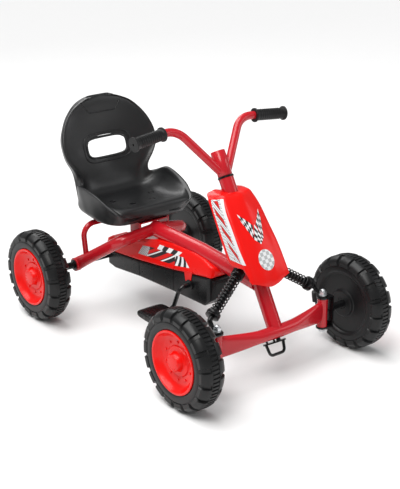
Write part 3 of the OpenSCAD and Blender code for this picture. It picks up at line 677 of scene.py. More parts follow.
# Half of the tyre's section, from the bead out to the middle of the tread, as (lug, groove) pairs
BEAD = [
    (82.8, 29.5), (84.0, 32.0), (86.5, 33.3), (90.0, 33.9), (101.0, 34.1), (102.2, 33.5), (103.2, 32.9),
    (104.2, 33.5)]
LUG = [
    (105.2, 35.0), (115.0, 35.2), (120.0, 32.5), (124.0, 27.5), (127.5, 22.0), (129.2, 17.5), (129.8, 12.6)]
GROOVE = [
    (105.2, 33.4), (113.0, 30.5), (117.0, 27.0), (120.0, 23.0), (122.5, 19.0), (124.5, 15.5), (126.2, 12.6)]
RIDGE = [(129.95, 12.0), (129.95, 10.9), (128.2, 10.2)]
RIB, VALLEY = [(129.2, 9.4), (129.6, 5.0), (129.7, 0.0)], [(126.6, 9.0), (126.6, 5.0), (126.6, 0.0)]
INNER_FACE = [
    (86.0, 31.5), (83.0, 27.0), (80.0, 25.6), (70.0, 26.5), (40.0, 27.5), (37.5, 29.5), (36.0, 34.5),
    (34.0, 35.6), (16.0, 35.6), (15.2, 34.8)]
HOLLOW_SIDE = [(15.2, -8.0), (24.0, -8.0), (24.0, 14.0), (76.0, 12.0), (82.6, -10.0)]


def tyre_segment():
    """One lug pitch of the tyre as an open strip that closes on its neighbours."""
    k = settings()
    pitch = 2 * math.pi / k.lugs
    rib_pitch = pitch / k.ribs_per_lug
    stops = {0.0, pitch}
    for centre in (0.0, pitch / 2):
        for r in (k.groove_floor, k.groove_top):
            stops |= {(centre + r) % pitch, (centre - r) % pitch}
    for n in range(k.ribs_per_lug):
        for share in (0.14, 0.26, 0.74, 0.86):
            stops.add((n + share) * rib_pitch)
    angles = sorted(stops)

    def groove_share(angle):
        off = abs((angle + pitch / 2) % pitch - pitch / 2)
        return min(1.0, max(0.0, (k.groove_top - off) / (k.groove_top - k.groove_floor)))

    def valley_share(angle):
        off = abs(angle % rib_pitch / rib_pitch - 0.5)
        return min(1.0, max(0.0, (off - 0.24) / 0.12))

    def blend(a, b, t):
        return [(p[0] + (q[0] - p[0]) * t, p[1] + (q[1] - p[1]) * t) for p, q in zip(a, b)]

    points = []
    for angle in angles:
        middle = blend(RIB, VALLEY, valley_share(angle))
        outer = BEAD + blend(LUG, GROOVE, groove_share(angle)) + RIDGE + middle
        inner = BEAD[3:] + blend(LUG, GROOVE, groove_share(angle + pitch / 2)) + RIDGE + middle[:-1]
        ring = outer + [(r, -z) for r, z in reversed(inner)] + [(r, -z) for r, z in INNER_FACE + HOLLOW_SIDE]
        points += [Vector((r * math.cos(angle), r * math.sin(angle), z)) * MM for r, z in ring]
    rows = len(angles)
    count = len(points) // rows
    return points, ring_faces(rows, count)


# Section of a wheel cover, from the middle of its boss out to the rim and back behind it
COVER = [
    (0, 33.8), (17, 33.8), (20.5, 33.2), (22, 31.5), (25.5, 20), (27, 18.6), (30, 18), (38.5, 18), (39.5, 17),
    (40.5, 15.2), (42, 14.8), (44, 15.6), (58, 16.6), (61, 17.6), (66, 20.5), (71.5, 26.5), (75, 32),
    (76.5, 34.4), (78.5, 35.2), (81, 35.2), (82.3, 34.6), (82.5, 33), (82.5, 31), (79, 31), (73, 24),
    (62, 14), (40, 11.5), (26, 15), (0, 28)]


def small_head(radius, height, sides=20):
    """Rounded bolt head that stands on Z = 0, in millimetres."""
    return turned(
        [(0, -1.5), (radius, -1.5), (radius, height * 0.6), (radius * 0.8, height), (0, height)], sides)


class KART_OT_wheels(bpy.types.Operator):
    """Builds the four moulded wheels with their covers"""

    bl_idname = "kart.wheels"
    bl_label = "Wheels"

    def execute(self, context):
        """Adds each wheel's tyre and its red cover."""
        k = settings()
        segment = new_mesh("segment", tyre_segment())
        tyre = repeated(segment, ring_of_copies, copies=k.lugs, material=finish("tyre_plastic"))
        bolt = new_mesh("bolt", moved(small_head(3.4, 2.6), Matrix.Translation((0.050, 0, 0.0161))))
        bolts = repeated(bolt, ring_of_copies, copies=k.bolts, material=finish("red_plastic"))
        stud = new_mesh("stud", moved(small_head(1.5, 1.0, 12), Matrix.Translation((0.0165, 0, 0.0336))))
        studs = repeated(stud, ring_of_copies, copies=k.studs, material=finish("red_plastic"))
        cover = new_mesh("cover", turned(COVER, 128))
        cover = merged_mesh("cover", bolts, studs, cover)
        for end, track, y in (("front", FRONT_TRACK, FRONT_AXLE_Y), ("rear", REAR_TRACK, REAR_AXLE_Y)):
            for name, side in SIDES.items():
                wheel = f"{end}_wheel_{name}" if (end, name) != ("rear", "right") else "rear_axle"
                stand = outward(side, track, y, WHEEL_R)
                for part, mesh, slot, nodes, sharp in (
                    ("tread", tyre, "tyre_plastic", [f"{end}_tyre_{name}"], 28),
                    ("cover", cover, "red_plastic", [f"{end}_hub_cap_{name}"], 30),
                ):
                    own = mesh.copy()
                    own.transform(stand)
                    place_piece(f"{end}_{part}_{name}", own, wheel, slot, nodes, sharp)
        return {"FINISHED"}


# Seat stations from the front lip over the floor and up the back, in millimetres: middle of the
# upper face (Y, Z), crest of the rim (X, Y, Z), middle of the outer face (Y, Z), outer edge (X, Y, Z)
SEAT = [
    ((142, 312), (112, 149, 318), (152, 300), (98, 158, 302)),
    ((144, 326), (130, 149, 328), (158, 291), (110, 164, 295)),
    ((150, 336), (138, 160, 337), (168, 287), (118, 174, 292)),
    ((164, 336), (145, 180, 347), (180, 286), (126, 188, 291)),
    ((186, 331), (150, 202, 358), (198, 286), (134, 205, 291)),
    ((225, 327), (153, 238, 371), (230, 286), (141, 238, 293)),
    ((268, 326), (157, 284, 380), (268, 286), (143, 272, 297)),
    ((308, 325), (157, 312, 379), (306, 287), (145, 300, 303)),
    ((338, 327), (142, 334, 369), (334, 288), (143, 330, 309)),
    ((356, 340), (122, 346, 368), (362, 296), (131, 352, 322)),
    ((368, 368), (122, 352, 388), (390, 335), (124, 372, 350)),
    ((380, 402), (142, 352, 416), (408, 388), (130, 378, 396)),
    ((389, 428), (158, 358, 442), (416, 425), (146, 386, 432)),
    ((398, 456), (163, 366, 468), (420, 458), (152, 394, 466)),
    ((404, 486), (160, 376, 494), (424, 490), (150, 402, 494)),
    ((409, 520), (148, 389, 524), (430, 523), (138, 411, 522)),
    ((412, 554), (128, 401, 551), (435, 556), (117, 424, 550)),
    ((415, 580), (103, 409, 573), (438, 582), (92, 431, 572)),
    ((419, 593), (74, 414, 587), (438, 594), (64, 434, 587)),
    ((422, 599), (48, 420, 595), (433, 600), (42, 431, 596)),
]
# The slot in the seat's back, and its cutter as (depth, growth) rings
SLOT_MIDDLE, SLOT_HALF = (0, 394, 451), (66, 27)
SLOT_RINGS = ((-60, 0), (-8, 0), (50, 50))
PANEL_LINE = [(-76, 594), (-45, 553), (45, 553), (76, 594)]


def seat_ring(station):
    """Control points round one seat station, from the upper middle to the outer middle and back."""
    (y, z), crest, (oy, oz), edge = station
    middle, out = Vector((0, y, z)), Vector((0, oy, oz))
    crest, edge = Vector(crest), Vector(edge)
    down = (edge - crest).normalized()
    inward = Vector((-1, 0, 0))
    lip = crest + inward * 11 + down * 4

    def part(share_x, share_rise):
        p = middle.lerp(lip, share_rise)
        return Vector((lip.x * share_x, p.y, p.z))

    back = min(1.0, max(0.0, (z - 370) / 50))
    rises = [flat + (curved - flat) * back for flat, curved in
             ((0.0, 0.13), (0.02, 0.36), (0.12, 0.55), (0.36, 0.74), (0.72, 0.9))]
    half = [
        middle, *[part(share, rise) for share, rise in zip((0.3, 0.55, 0.72, 0.85, 0.95), rises)], lip,
        crest + inward * 5.5, crest + down * 5, crest.lerp(edge, 0.55), edge,
    ]
    under = Vector((edge.x * 0.86, edge.y + (oy - edge.y) * 0.75, edge.z + (oz - edge.z) * 0.75))
    half += [under, Vector((edge.x * 0.5, oy, oz)), out]
    return half + [Vector((-p.x, p.y, p.z)) for p in reversed(half[1:-1])]


def slot_outline(grow, sides=48):
    """Rounded slot outline in the seat's back, as (X, height) pairs in millimetres."""
    out = []
    for k in range(sides):
        a = 2 * math.pi * k / sides
        c, s = math.cos(a), math.sin(a)
        out.append((
            (SLOT_HALF[0] + grow) * math.copysign(abs(c) ** 0.45, c),
            (SLOT_HALF[1] + grow) * math.copysign(abs(s) ** 0.62, s)))
    return out


class KART_OT_seat(bpy.types.Operator):
    """Builds the blow-moulded bucket seat"""

    bl_idname = "kart.seat"
    bl_label = "Seat"

    def execute(self, context):
        """Adds the seat shell with its slot and bolt recesses."""
        rings = np.array([[tuple(p) for p in seat_ring(s)] for s in SEAT])
        along = np.stack([smooth_through(rings[:, k], 130) for k in range(rings.shape[1])], axis=1)
        rows = [smooth_through(row, 112, closed=True) for row in along]
        for end, order in ((rows[0], -1), (rows[-1], 1)):
            middle = end.mean(axis=0)
            caps = [middle + (end - middle) * share for share in (0.94, 0.8, 0.5)]
            rows = rows + caps if order > 0 else caps[::-1] + rows
        count = len(rows[0])
        points = [Vector(p) * MM for row in rows for p in row]
        last = (len(rows) - 1) * count
        faces = ring_faces(len(rows), count)
        faces += [tuple(range(count)), tuple(last + k for k in range(count - 1, -1, -1))]
        shell = new_mesh("shell", (points, faces))
        lean = Matrix.Translation(Vector(SLOT_MIDDLE) * MM) @ Matrix.Rotation(math.radians(-14), 4, "X")
        n = len(slot_outline(0))
        slot = [lean @ (Vector((x, d, h)) * MM) for d, grow in SLOT_RINGS for x, h in slot_outline(grow)]
        cutters = [(slot, ring_faces(3, n) + [tuple(range(n)), tuple(range(3 * n - 1, 2 * n - 1, -1))])]
        for x, y in ((68, 268), (35, 215)):
            for side in SIDES.values():
                well = turned([(0, -3), (8.2, -3), (9, -2), (9, 6), (10, 12), (0, 12)], 32)
                cutters.append(moved(well, Matrix.Translation(Vector((side * x, y, 326)) * MM)))
        skin = BVHTree.FromPolygons([v.co for v in shell.vertices], [p.vertices[:] for p in shell.polygons])
        line = spread_line(rounded_line(millimetres([(x, 0, z) for x, z in PANEL_LINE]), 0.008, 6), 0.003)
        groove = [skin.ray_cast(p + Vector((0, 0.3, 0)), Vector((0, 1, 0)))[0] for p in line]
        groove = [p + Vector((0, -0.0002, 0)) for p in groove if p]
        cutters.append(round_bar(groove, 0.0019, 10, Vector((0, 1, 0))))
        shell = carved(shell, *cutters)
        tree = BVHTree.FromPolygons([v.co for v in shell.vertices], [p.vertices[:] for p in shell.polygons])
        rings = []
        for grow, radius in ((3.2, 0.0037), (15.0, 0.0022)):
            bead = []
            for x, h in slot_outline(grow, 96):
                start = lean @ (Vector((x, -60, h)) * MM)
                hit = tree.ray_cast(start, lean.to_3x3() @ Vector((0, 1, 0)))[0]
                bead.append(hit if hit else lean @ (Vector((x, 0, h)) * MM))
            smooth = [(bead[k - 1] + bead[k] + bead[(k + 1) % len(bead)]) / 3 for k in range(len(bead))]
            rings.append(round_bar(smooth, radius, 16, Vector((0, 1, 0)), closed=True))
        shell.materials.clear()
        shell.materials.append(finish("seat_plastic"))
        shell = merged_mesh("seat", shell, *[new_mesh("ring", ring) for ring in rings])
        place_piece("seat", shell, "chassis", "seat_plastic", ["seat_shell"], 42)
        return {"FINISHED"}


def film_patch(name, target, corners, direction, material, slot, lift=1.0, rounded=False, steps=28):
    """Thin printed film on a piece: a four-cornered patch thrown onto it along a direction."""
    film_height = settings().film * lift
    mesh = target.data
    tree = BVHTree.FromPolygons([v.co for v in mesh.vertices], [p.vertices[:] for p in mesh.polygons])
    a, b, c, d = (Vector(p) * MM for p in corners)
    direction = Vector(direction).normalized()
    top, low, flat = [], [], []
    for i in range(steps + 1):
        for j in range(steps + 1):
            s, t = i / steps, j / steps
            if rounded:
                u, v = 2 * s - 1, 2 * t - 1
                s, t = (1 + u * math.sqrt(1 - v * v / 2)) / 2, (1 + v * math.sqrt(1 - u * u / 2)) / 2
            p = a.lerp(b, s).lerp(d.lerp(c, s), t)
            hit, normal, _, _ = tree.ray_cast(p - direction * 0.06, direction)
            if hit is None:
                raise RuntimeError(name + " misses its surface at " + str(tuple(p)))
            if normal.dot(direction) > 0:
                normal = -normal
            top.append(hit + normal * film_height)
            low.append(hit - normal * 0.0003)
            flat.append((s * (b - a).length, t * (d - a).length))
    n = steps + 1
    count = n * n
    faces = sheet_faces(n, n)
    faces += [tuple(v + count for v in reversed(f)) for f in faces]
    edge = list(range(n)) + [i * n + steps for i in range(1, n)]
    edge += [steps * n + j for j in range(steps - 1, -1, -1)] + [i * n for i in range(steps - 1, 0, -1)]
    for u, v in zip(edge, edge[1:] + edge[:1]):
        faces.append((v, u, u + count, v + count))
    film = bpy.data.meshes.new(name)
    film.from_pydata([tuple(p) for p in top + low], [], faces)
    layer = film.uv_layers.new(name="film")
    for loop in film.loops:
        layer.data[loop.index].uv = flat[loop.vertex_index % count]
    face_out(film)
    return place_piece(name, film, "chassis", slot, material=material)


# Fairing levels from its bottom to its top, in millimetres: middle of the front (Y, Z),
# fold (X, Y, Z), rear edge (X, Y, Z)
FAIRING = [
    ((-347, 247), (60.5, -342, 266), (64, -332, 270)),
    ((-345, 262), (61.3, -337, 278), (69, -302, 283)),
    ((-334, 290), (62, -322, 303), (74.5, -262, 307)),
    ((-310, 334), (60.5, -296, 343), (74.5, -238, 343)),
    ((-282, 378), (57, -266, 383), (73.5, -213, 384)),
    ((-253, 420), (52.5, -238, 423), (71.5, -190, 422)),
    ((-229, 451), (47, -213, 451), (69, -173, 444)),
]
CAP = [
    ((-217, 461), (44.5, -202, 460), (66, -167, 450)),
    ((-206, 463), (42, -192, 462), (62.5, -159, 454)),
    ((-190, 461), (39, -176, 462), (56.5, -152, 456)),
    ((-150, 459), (33, -150, 462), (47, -146, 457)),
]


class KART_OT_fairing(bpy.types.Operator):
    """Builds the red fairing in front of the steering column"""

    bl_idname = "kart.fairing"
    bl_label = "Fairing"

    def execute(self, context):
        """Adds the fairing skin and its printed films."""
        rows = []
        for (y, z), fold, rear in FAIRING + CAP:
            middle, fold, rear = np.array((0, y, z)), np.array(fold), np.array(rear)
            bulge = np.array((3.0, -2.0, 0.0))
            half = [
                middle, middle * 0.62 + fold * 0.38 + np.array((0, -2.6, -1.2)), middle * 0.28 + fold * 0.72,
                middle * 0.08 + fold * 0.92 + np.array((0, 0.8, 0)),
                fold * 0.9 + rear * 0.1 + np.array((0.6, 0, 0)), fold * 0.6 + rear * 0.4 + bulge * 0.5, rear]
            half = [np.array(p) for p in half]
            rows.append([p * (-1, 1, 1) for p in reversed(half[1:])] + half)
        rows = np.array(rows)
        along = np.stack([smooth_through(rows[:, k], 90) for k in range(rows.shape[1])], axis=1)
        grid = [smooth_through(row, 97) for row in along]
        columns = len(grid[0])
        points = [Vector(p) * MM for row in grid for p in row]
        skin = bpy.data.meshes.new("skin")
        skin.from_pydata([tuple(p) for p in points], [], sheet_faces(len(grid), columns))
        skin = evaluated(skin, (
            "SOLIDIFY", {"thickness": settings().skin, "offset": self.inward_offset(skin)}))
        notches = []
        for side in SIDES.values():
            profile = [(-311, 298), (-331, 278), (-331, 240), (-240, 240), (-240, 298)]
            notches.append(plate([(62.5, y, z) for y, z in profile], (30, 0, 0), side))
        skin = carved(skin, *notches, careful=True)
        skin.materials.clear()
        piece = place_piece("fairing_skin", skin, "chassis", "red_plastic",
                            ["fairing", "fairing_screws"], 50)
        lines = striped_decal(
            "Grey lined film", 0.0085, [(0.0, WHITE), (0.45, GREY), (0.6, WHITE), (0.8, PALE)], 1.2)
        edge = striped_decal("White film", 0.4, [(0.0, WHITE), (0.9, WHITE)])
        arrows = striped_decal(
            "Slanted bar film", 0.019,
            [(0.0, WHITE), (0.16, DARK), (0.24, SIGNAL), (0.62, DARK), (0.7, WHITE), (0.86, PALE)], 0.42)
        squares = chequer_decal("Small chequer film", DARK, WHITE, 0.0085)
        pale = chequer_decal("Pale chequer film", PALE, WHITE, 0.0095)
        for name, side in SIDES.items():
            for label, film, lift, corners in (
                ("side_film_", lines, 1.0, ((-178, 448), (-205, 454), (-312, 309), (-266, 313))),
                ("side_edge_", edge, 1.6, ((-200, 453), (-207, 454), (-315, 309), (-306, 309))),
                ("side_bars_", arrows, 1.6, ((-182, 445), (-197, 449), (-299, 314), (-281, 316))),
            ):
                film_patch(label + name, piece, [(side * 68, *c) for c in corners], (-side, 0, 0), film,
                           "red_plastic", lift)
            film_patch("wing_film_" + name, piece, [
                self.on_front(side * 35, 417), self.on_front(side * 31, 396), self.on_front(side * 15, 353),
                self.on_front(side * 5, 384)], (0, 0.8, -0.6), squares, "red_plastic")
        film_patch("wing_film_middle", piece, [
            self.on_front(-15, 353), self.on_front(0, 340), self.on_front(15, 353), self.on_front(0, 385)],
            (0, 0.8, -0.6), squares, "red_plastic", 1.3)
        film_patch("badge_film", piece, [
            self.on_front(-24, 282), self.on_front(24, 282), self.on_front(24, 328), self.on_front(-24, 328)],
            (0, 0.8, -0.6), pale, "red_plastic", rounded=True)
        return {"FINISHED"}

    def on_front(self, x, z):
        """Point a little in front of the fairing's face at a height, in millimetres."""
        return (x, -350 + (z - 247) * 0.645, z)

    def inward_offset(self, skin):
        """Side on which the solidify wall grows, so that the outer face stays where it is."""
        face = skin.polygons[len(skin.polygons) // 3]
        out = face.center - Vector((0, -0.2, face.center.z))
        return -1.0 if face.normal.dot(out) > 0 else 1.0


# Side outlines of the case's halves and of the cover's tab, as (Y, Z) in millimetres
TAB, TAB_THICK = [(-38, 205), (-74, 210), (-66, 178), (-52, 174), (-44, 178)], 1.8
CASE_LOW = [
    (-128, 211), (-156, 214), (-149, 150), (-124, 128), (15, 125), (178, 118), (300, 106), (336, 112),
    (347, 128), (347, 149), (303, 155), (177, 167), (14, 188), (-50, 199),
]
CASE_HIGH = [
    (346, 149), (366, 160), (356, 182), (334, 195), (290, 200), (110, 246), (40, 254), (-60, 256),
    (-106, 252), (-149, 241), (-158, 230), (-150, 214), (-128, 211), (-50, 199), (14, 188), (177, 167),
    (303, 155),
]


def case_half(outline, bend, edge, plan):
    """Shell half across the case from its side outline in the Y-Z plane, with rounded edges."""
    low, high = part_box("chain_case_lower")
    flat = [Vector((0, y, z)) for y, z in outline]
    start = (flat[0] + flat[-1]) / 2
    line = rounded_line([start] + flat + [start], bend, 6)[:-1]
    line = spread_line(line + [line[0]], 5)[:-1]
    n = len(line)
    normals = []
    for k in range(n):
        d = (line[(k + 1) % n] - line[k - 1]).normalized()
        normals.append(Vector((0, -d.z, d.y)))
    area = sum(p.y * q.z - q.y * p.z for p, q in zip(line, line[1:] + line[:1]))
    sign = 1 if area > 0 else -1
    front, rear = min(p.y for p in line), max(p.y for p in line)
    left, right = low.x / MM, high.x / MM
    middle, half = (left + right) / 2, (right - left) / 2
    rows = []
    stops = [half - edge + edge * math.sin(a) for a in (math.radians(15 * k) for k in range(7))]
    stops = sorted(set([-s for s in stops] + list(np.linspace(-half + edge, half - edge, 15)) + stops))
    for x in stops:
        over = max(0.0, abs(x) - (half - edge))
        inset = edge - math.sqrt(max(0.0, edge**2 - over**2))
        deep = max(0.0, abs(x) - (half - plan))
        pull = plan - math.sqrt(max(0.0, plan**2 - deep**2)) if plan else 0.0
        ring = []
        for p, m in zip(line, normals):
            q = p + m * inset * sign
            ring.append(Vector((middle + x, min(max(q.y, front + pull), rear - pull), q.z)) * MM)
        rows.append(ring)
    points = [p for ring in rows for p in ring]
    last = (len(rows) - 1) * n
    faces = ring_faces(len(rows), n) + [tuple(range(n)), tuple(last + k for k in range(n - 1, -1, -1))]
    return points, faces


class KART_OT_chain_case(bpy.types.Operator):
    """Builds the chain case under the main tube"""

    bl_idname = "kart.chain_case"
    bl_label = "Chain case"

    def execute(self, context):
        """Adds the black tray, the red cover and its printed films."""
        low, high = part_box("chain_case_lower")
        axle = Matrix.Rotation(math.pi / 2, 4, "Y")
        bore = turned([(0, -60), (10.5, -60), (10.5, 60), (0, 60)], 32)
        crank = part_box("crank_sprocket")
        crank_middle = (crank[0] + crank[1]) / 2
        bores = [
            moved(bore, Matrix.Translation((0, crank_middle.y, crank_middle.z)) @ axle),
            moved(bore, Matrix.Translation((0, REAR_AXLE_Y, WHEEL_R)) @ axle)]
        grooves = [
            plate(rectangle(x, x + 4.2, y - 1.2, y + 1.2, 90), (0, 0, 130))
            for y in (13.5, 175.5) for x in (low.x / MM - 3, high.x / MM - 1.2)]
        tray = carved(new_mesh("tray", case_half(CASE_LOW, 14, 5, 22)), *bores, *grooves)
        tray.materials.clear()
        place_piece("case_tray", tray, "chassis", "black_plastic",
                    ["chain_case_lower", "chain_case_screws"], 40)
        points, faces = case_half(CASE_HIGH, 12, 7, 25)
        middle = (low.x + high.x) / 2
        for p in points:
            seam = 0.194 - (p.y - 0.0) * 0.13
            rise = min(1.0, max(0.0, (p.z - seam) / 0.055))
            p.x = middle + (p.x - middle) * (1 - 0.42 * rise**1.3)
        cover = carved(new_mesh("cover", (points, faces)), bores[1])
        cover.materials.clear()
        piece = place_piece("case_cover", cover, "chassis", "red_plastic", ["chain_cover_upper"], 40)
        for name, x in (("right", low.x / MM), ("left", high.x / MM)):
            out = -1 if name == "right" else 1
            tab = plate([(x, y, z) for y, z in TAB], (out * TAB_THICK, 0, 0))
            add_piece("cover_tab_" + name, tab, "chassis", "red_plastic")
            lines = striped_decal("Cover lined film", 0.0075, [(0.0, PALE), (0.5, WHITE), (0.72, GREY)], 1.2)
            bars = striped_decal(
                "Cover bar film", 0.026, [(0.0, WHITE), (0.14, DARK), (0.22, SIGNAL), (0.62, DARK)], 0.35)
            squares = chequer_decal("Cover chequer film", DARK, WHITE, 0.021)
            dart = striped_decal("Cover dart film", 0.02, [(0.0, DARK), (0.5, WHITE)], 0.9)
            for label, film, lift, corners in (
                ("cover_film_", lines, 1.0, ((186, 186), (172, 212), (138, 218), (140, 191))),
                ("cover_bars_", bars, 1.0, ((140, 191), (138, 218), (20, 232), (8, 204))),
                ("cover_chequer_", squares, 1.6, ((104, 222), (96, 236), (-8, 244), (4, 230))),
                ("cover_dart_", dart, 1.0, ((8, 204), (18, 230), (-22, 234), (-56, 216))),
            ):
                film_patch(label + name, piece, [(x, *c) for c in corners], (-out, 0, 0), film,
                           "red_plastic", lift)
        return {"FINISHED"}


class KART_OT_shocks(bpy.types.Operator):
    """Builds the two coil shocks and their straps"""

    bl_idname = "kart.shocks"
    bl_label = "Shocks"

    def execute(self, context):
        """Adds each strut with its cups and its coil spring."""
        k = settings()
        for name, side in SIDES.items():
            top, low = millimetres([SHOCK_TOP, SHOCK_LOW], side)
            axis = (low - top).normalized()
            reach = (low - top).length
            stand = facing(top, axis)
            end = reach / MM
            body = turned([
                (0, -20), (5, -20), (5, -5), (15, -5), (17, -3), (17, 8), (16, 10), (17, 12), (17, 14),
                (14, 15.2), (8.6, 15.4), (8.6, end - 15.4), (15, end - 15.2), (18, end - 14), (19, end - 12),
                (19, end - 7), (17.5, end - 5), (19, end - 3), (19, end - 1), (16, end), (7, end + 1),
                (6, end + 14), (0, end + 14)], 48)
            eye = low + axis * 0.012
            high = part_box("kingpin_tube_" + name)[1].z + 0.0048
            pin = Vector((side * KINGPIN_X, FRONT_AXLE_Y, high))
            strap = swept(
                rounded_line([
                    eye, eye.lerp(pin + Vector((0, 0.016, 0.002)), 0.6), pin + Vector((0, 0.012, 0.002)),
                    pin + Vector((0, 0, 0.002))], 0.01, 6), lambda i, t: (0.007, 0.002, 0.5), 24)
            washer = moved(turned([(5.1, 0), (12.2, 0), (13, 0.8), (13, 3.2), (12.2, 4), (5.1, 4)], 40),
                           Matrix.Translation(pin))
            add_piece("strut_" + name, joined(moved(body, stand), strap, washer), "chassis",
                      "black_plastic", ["shock_strut_" + name], 38)
            spring = repeated(
                new_mesh("seed", turned([(0, 0), (1, 0), (1, 1), (0, 1)], 8)), coil_of_wire,
                turns=k.coil_turns, coil_radius=0.0132, height=reach - 2 * CUP_DEPTH,
                wire_radius=k.wire_radius, material=finish("black_paint"))
            spring.transform(stand @ Matrix.Translation((0, 0, CUP_DEPTH)))
            place_piece("spring_" + name, spring, "chassis", "black_paint", ["shock_spring_" + name], 50)
        return {"FINISHED"}


class KART_OT_steering(bpy.types.Operator):
    """Builds the handlebar, its grips and the steering shaft"""

    bl_idname = "kart.steering"
    bl_label = "Steering"

    def execute(self, context):
        """Adds the handlebar with its stem, the grips, the shaft and the tie rods."""
        k = settings()
        stand = facing(COLUMN_FOOT, COLUMN_AXIS)
        stem = turned([
            (12.8, 416.9), (18.7, 416.9), (19.5, 417.8), (19.5, 483.6), (18.7, 484.5), (12.8, 484.5)], 64)
        stem = moved(stem, stand)
        arms = []
        for side in SIDES.values():
            line = rounded_line(
                millimetres([(12, -151, 506), (106, -86.5, 621), (243, -101.4, 610.1)], side), 0.06, 20)
            arms.append(round_bar(spread_line(line, 0.006), HANDLE_R, 40, Vector((0, 1, 0))))
        add_piece("handlebar_tube", joined(stem, *arms), "steering", "red_paint", ["handlebar"], 45)
        for name, side in SIDES.items():
            inner, outer = millimetres([(151, -92, 617.5), (244, -101.5, 610)], side)
            reach = (outer - inner).length / MM
            hold = turned([
                (11.1, 0), (18.2, 0), (19, 0.8), (19, 4), (18, 5), (15.5, 6.5), (14.5, 9), (14.5, reach - 3),
                (15.5, reach - 1.4), (18.2, reach - 0.6), (19, reach + 0.6), (19, reach + 4), (18, reach + 5),
                (3, reach + 5), (3, reach + 1), (11.1, reach)], 56)
            place = facing(inner, outer - inner)
            seed = new_mesh("grip ring", turned(
                [(14.0, 14), (15.2, 14.4), (15.5, 15.5), (15.2, 16.6), (14.0, 17)], 56))
            rings = repeated(
                seed, row_of_copies, copies=k.grip_rings, step=(0, 0, 7 * MM), material=finish("grip_rubber"))
            mesh = merged_mesh("grip", rings, new_mesh("hold", hold))
            mesh.transform(place)
            place_piece("grip_skin_" + name, mesh, "steering", "grip_rubber", ["grip_" + name], 40)
        shaft = moved(turned(
            [(0, -31), (6, -31), (6, 350), (12.5, 350), (12.5, 477), (11.8, 478), (0, 478)], 40), stand)
        yoke = [(-14, -12), (14, -12), (34, 14), (34, 24), (20, 44), (-20, 44), (-34, 24), (-34, 14)]
        low = [on_column(x, back, -31) for x, back in yoke]
        n = len(low)
        slab = (low + [p + COLUMN_AXIS * 0.004 for p in low],
                ring_faces(2, n) + [tuple(range(n)), tuple(range(2 * n - 1, n - 1, -1))])
        loop = rounded_line([on_column(-29, 19, -30), on_column(-24, 21, -60), on_column(24, 21, -60),
                             on_column(29, 19, -30)], 0.011, 10)
        parts = [shaft, slab, round_bar(spread_line(loop, 0.004), LOOP_R, 24, COLUMN_BACK)]
        for side in SIDES.values():
            foot = on_column(side * 12, 35, -31)
            pin = turned(
                [(0, 0), (3, 0), (3, 23.5), (5.4, 23.5), (6, 24), (6, 25), (5.4, 25.5), (0, 25.5)], 28)
            parts.append(moved(pin, facing(foot, COLUMN_AXIS)))
        add_piece("shaft_and_yoke", joined(*parts), "steering", "black_paint", ["steering_shaft"], 40)
        for name, side in SIDES.items():
            outer = Vector((side * (KINGPIN_X + 0.012), FRONT_AXLE_Y + 0.035, 0.1024))
            inner = on_column(side * 12, 35, -15)
            eye, wide = (
                [(bore, 0), (8, 0), (8.5, 0.5), (8.5, 5.5), (8, 6), (bore, 6)] for bore in (3.06, 4.7))
            a, b = outer + Vector((0, 0, 0.003)), inner + COLUMN_AXIS * 0.003
            u = (b - a).normalized()
            rod = round_bar([a + u * 0.006, b - u * 0.007], TIE_ROD_R, 24)
            shape = joined(
                moved(turned(eye, 32), Matrix.Translation(outer)),
                moved(turned(wide, 32), facing(inner, COLUMN_AXIS)), rod)
            add_piece("tie_rod_bar_" + name, shape, "tie_rod_" + name, "black_paint", ["tie_rod_" + name], 40)
        return {"FINISHED"}


def crank_pin(side, axis):
    """Point on the kart's middle plane where a pedal's pin lies round the crank's axis."""
    return Vector((0, axis.y - side * CRANK_THROW * math.sin(CRANK_TURN),
                   axis.z + side * CRANK_THROW * math.cos(CRANK_TURN)))


class KART_OT_drive(bpy.types.Operator):
    """Builds the crank, the pedals and the rear axle"""

    bl_idname = "kart.drive"
    bl_label = "Drive"

    def execute(self, context):
        """Adds the bent crank bar, both pedals and the axle bar."""
        ends = {name: node_middle("pedal_" + name) for name in SIDES}
        axis = node_middle("crank_sprocket")
        path = []
        for name, side in (("right", -1), ("left", 1)):
            spin = crank_pin(side, axis)
            own = [Vector((side * 0.176, spin.y, spin.z)), Vector((side * 0.080, spin.y, spin.z)),
                   Vector((side * 0.080, axis.y, axis.z))]
            path += own if side < 0 else own[::-1]
        line = spread_line(rounded_line(path, 0.017, 12), 0.005)
        add_piece("crank_bar", round_bar(line, CRANK_R, 28, Vector((0, 1, 0.3))), "crank", "black_paint",
                  ["crank"], 45)
        for name, side in SIDES.items():
            add_pedal(name, side, ends[name], axis)
        bar = turned([(0, -298.5), (6.2, -299), (7, -298), (7, 298), (6.2, 299), (0, 299)], 32)
        bar = moved(bar, Matrix.Translation((0, REAR_AXLE_Y, WHEEL_R)) @ Matrix.Rotation(math.pi / 2, 4, "Y"))
        add_piece("axle_bar", bar, "rear_axle", "black_paint", ["rear_axle"])
        return {"FINISHED"}


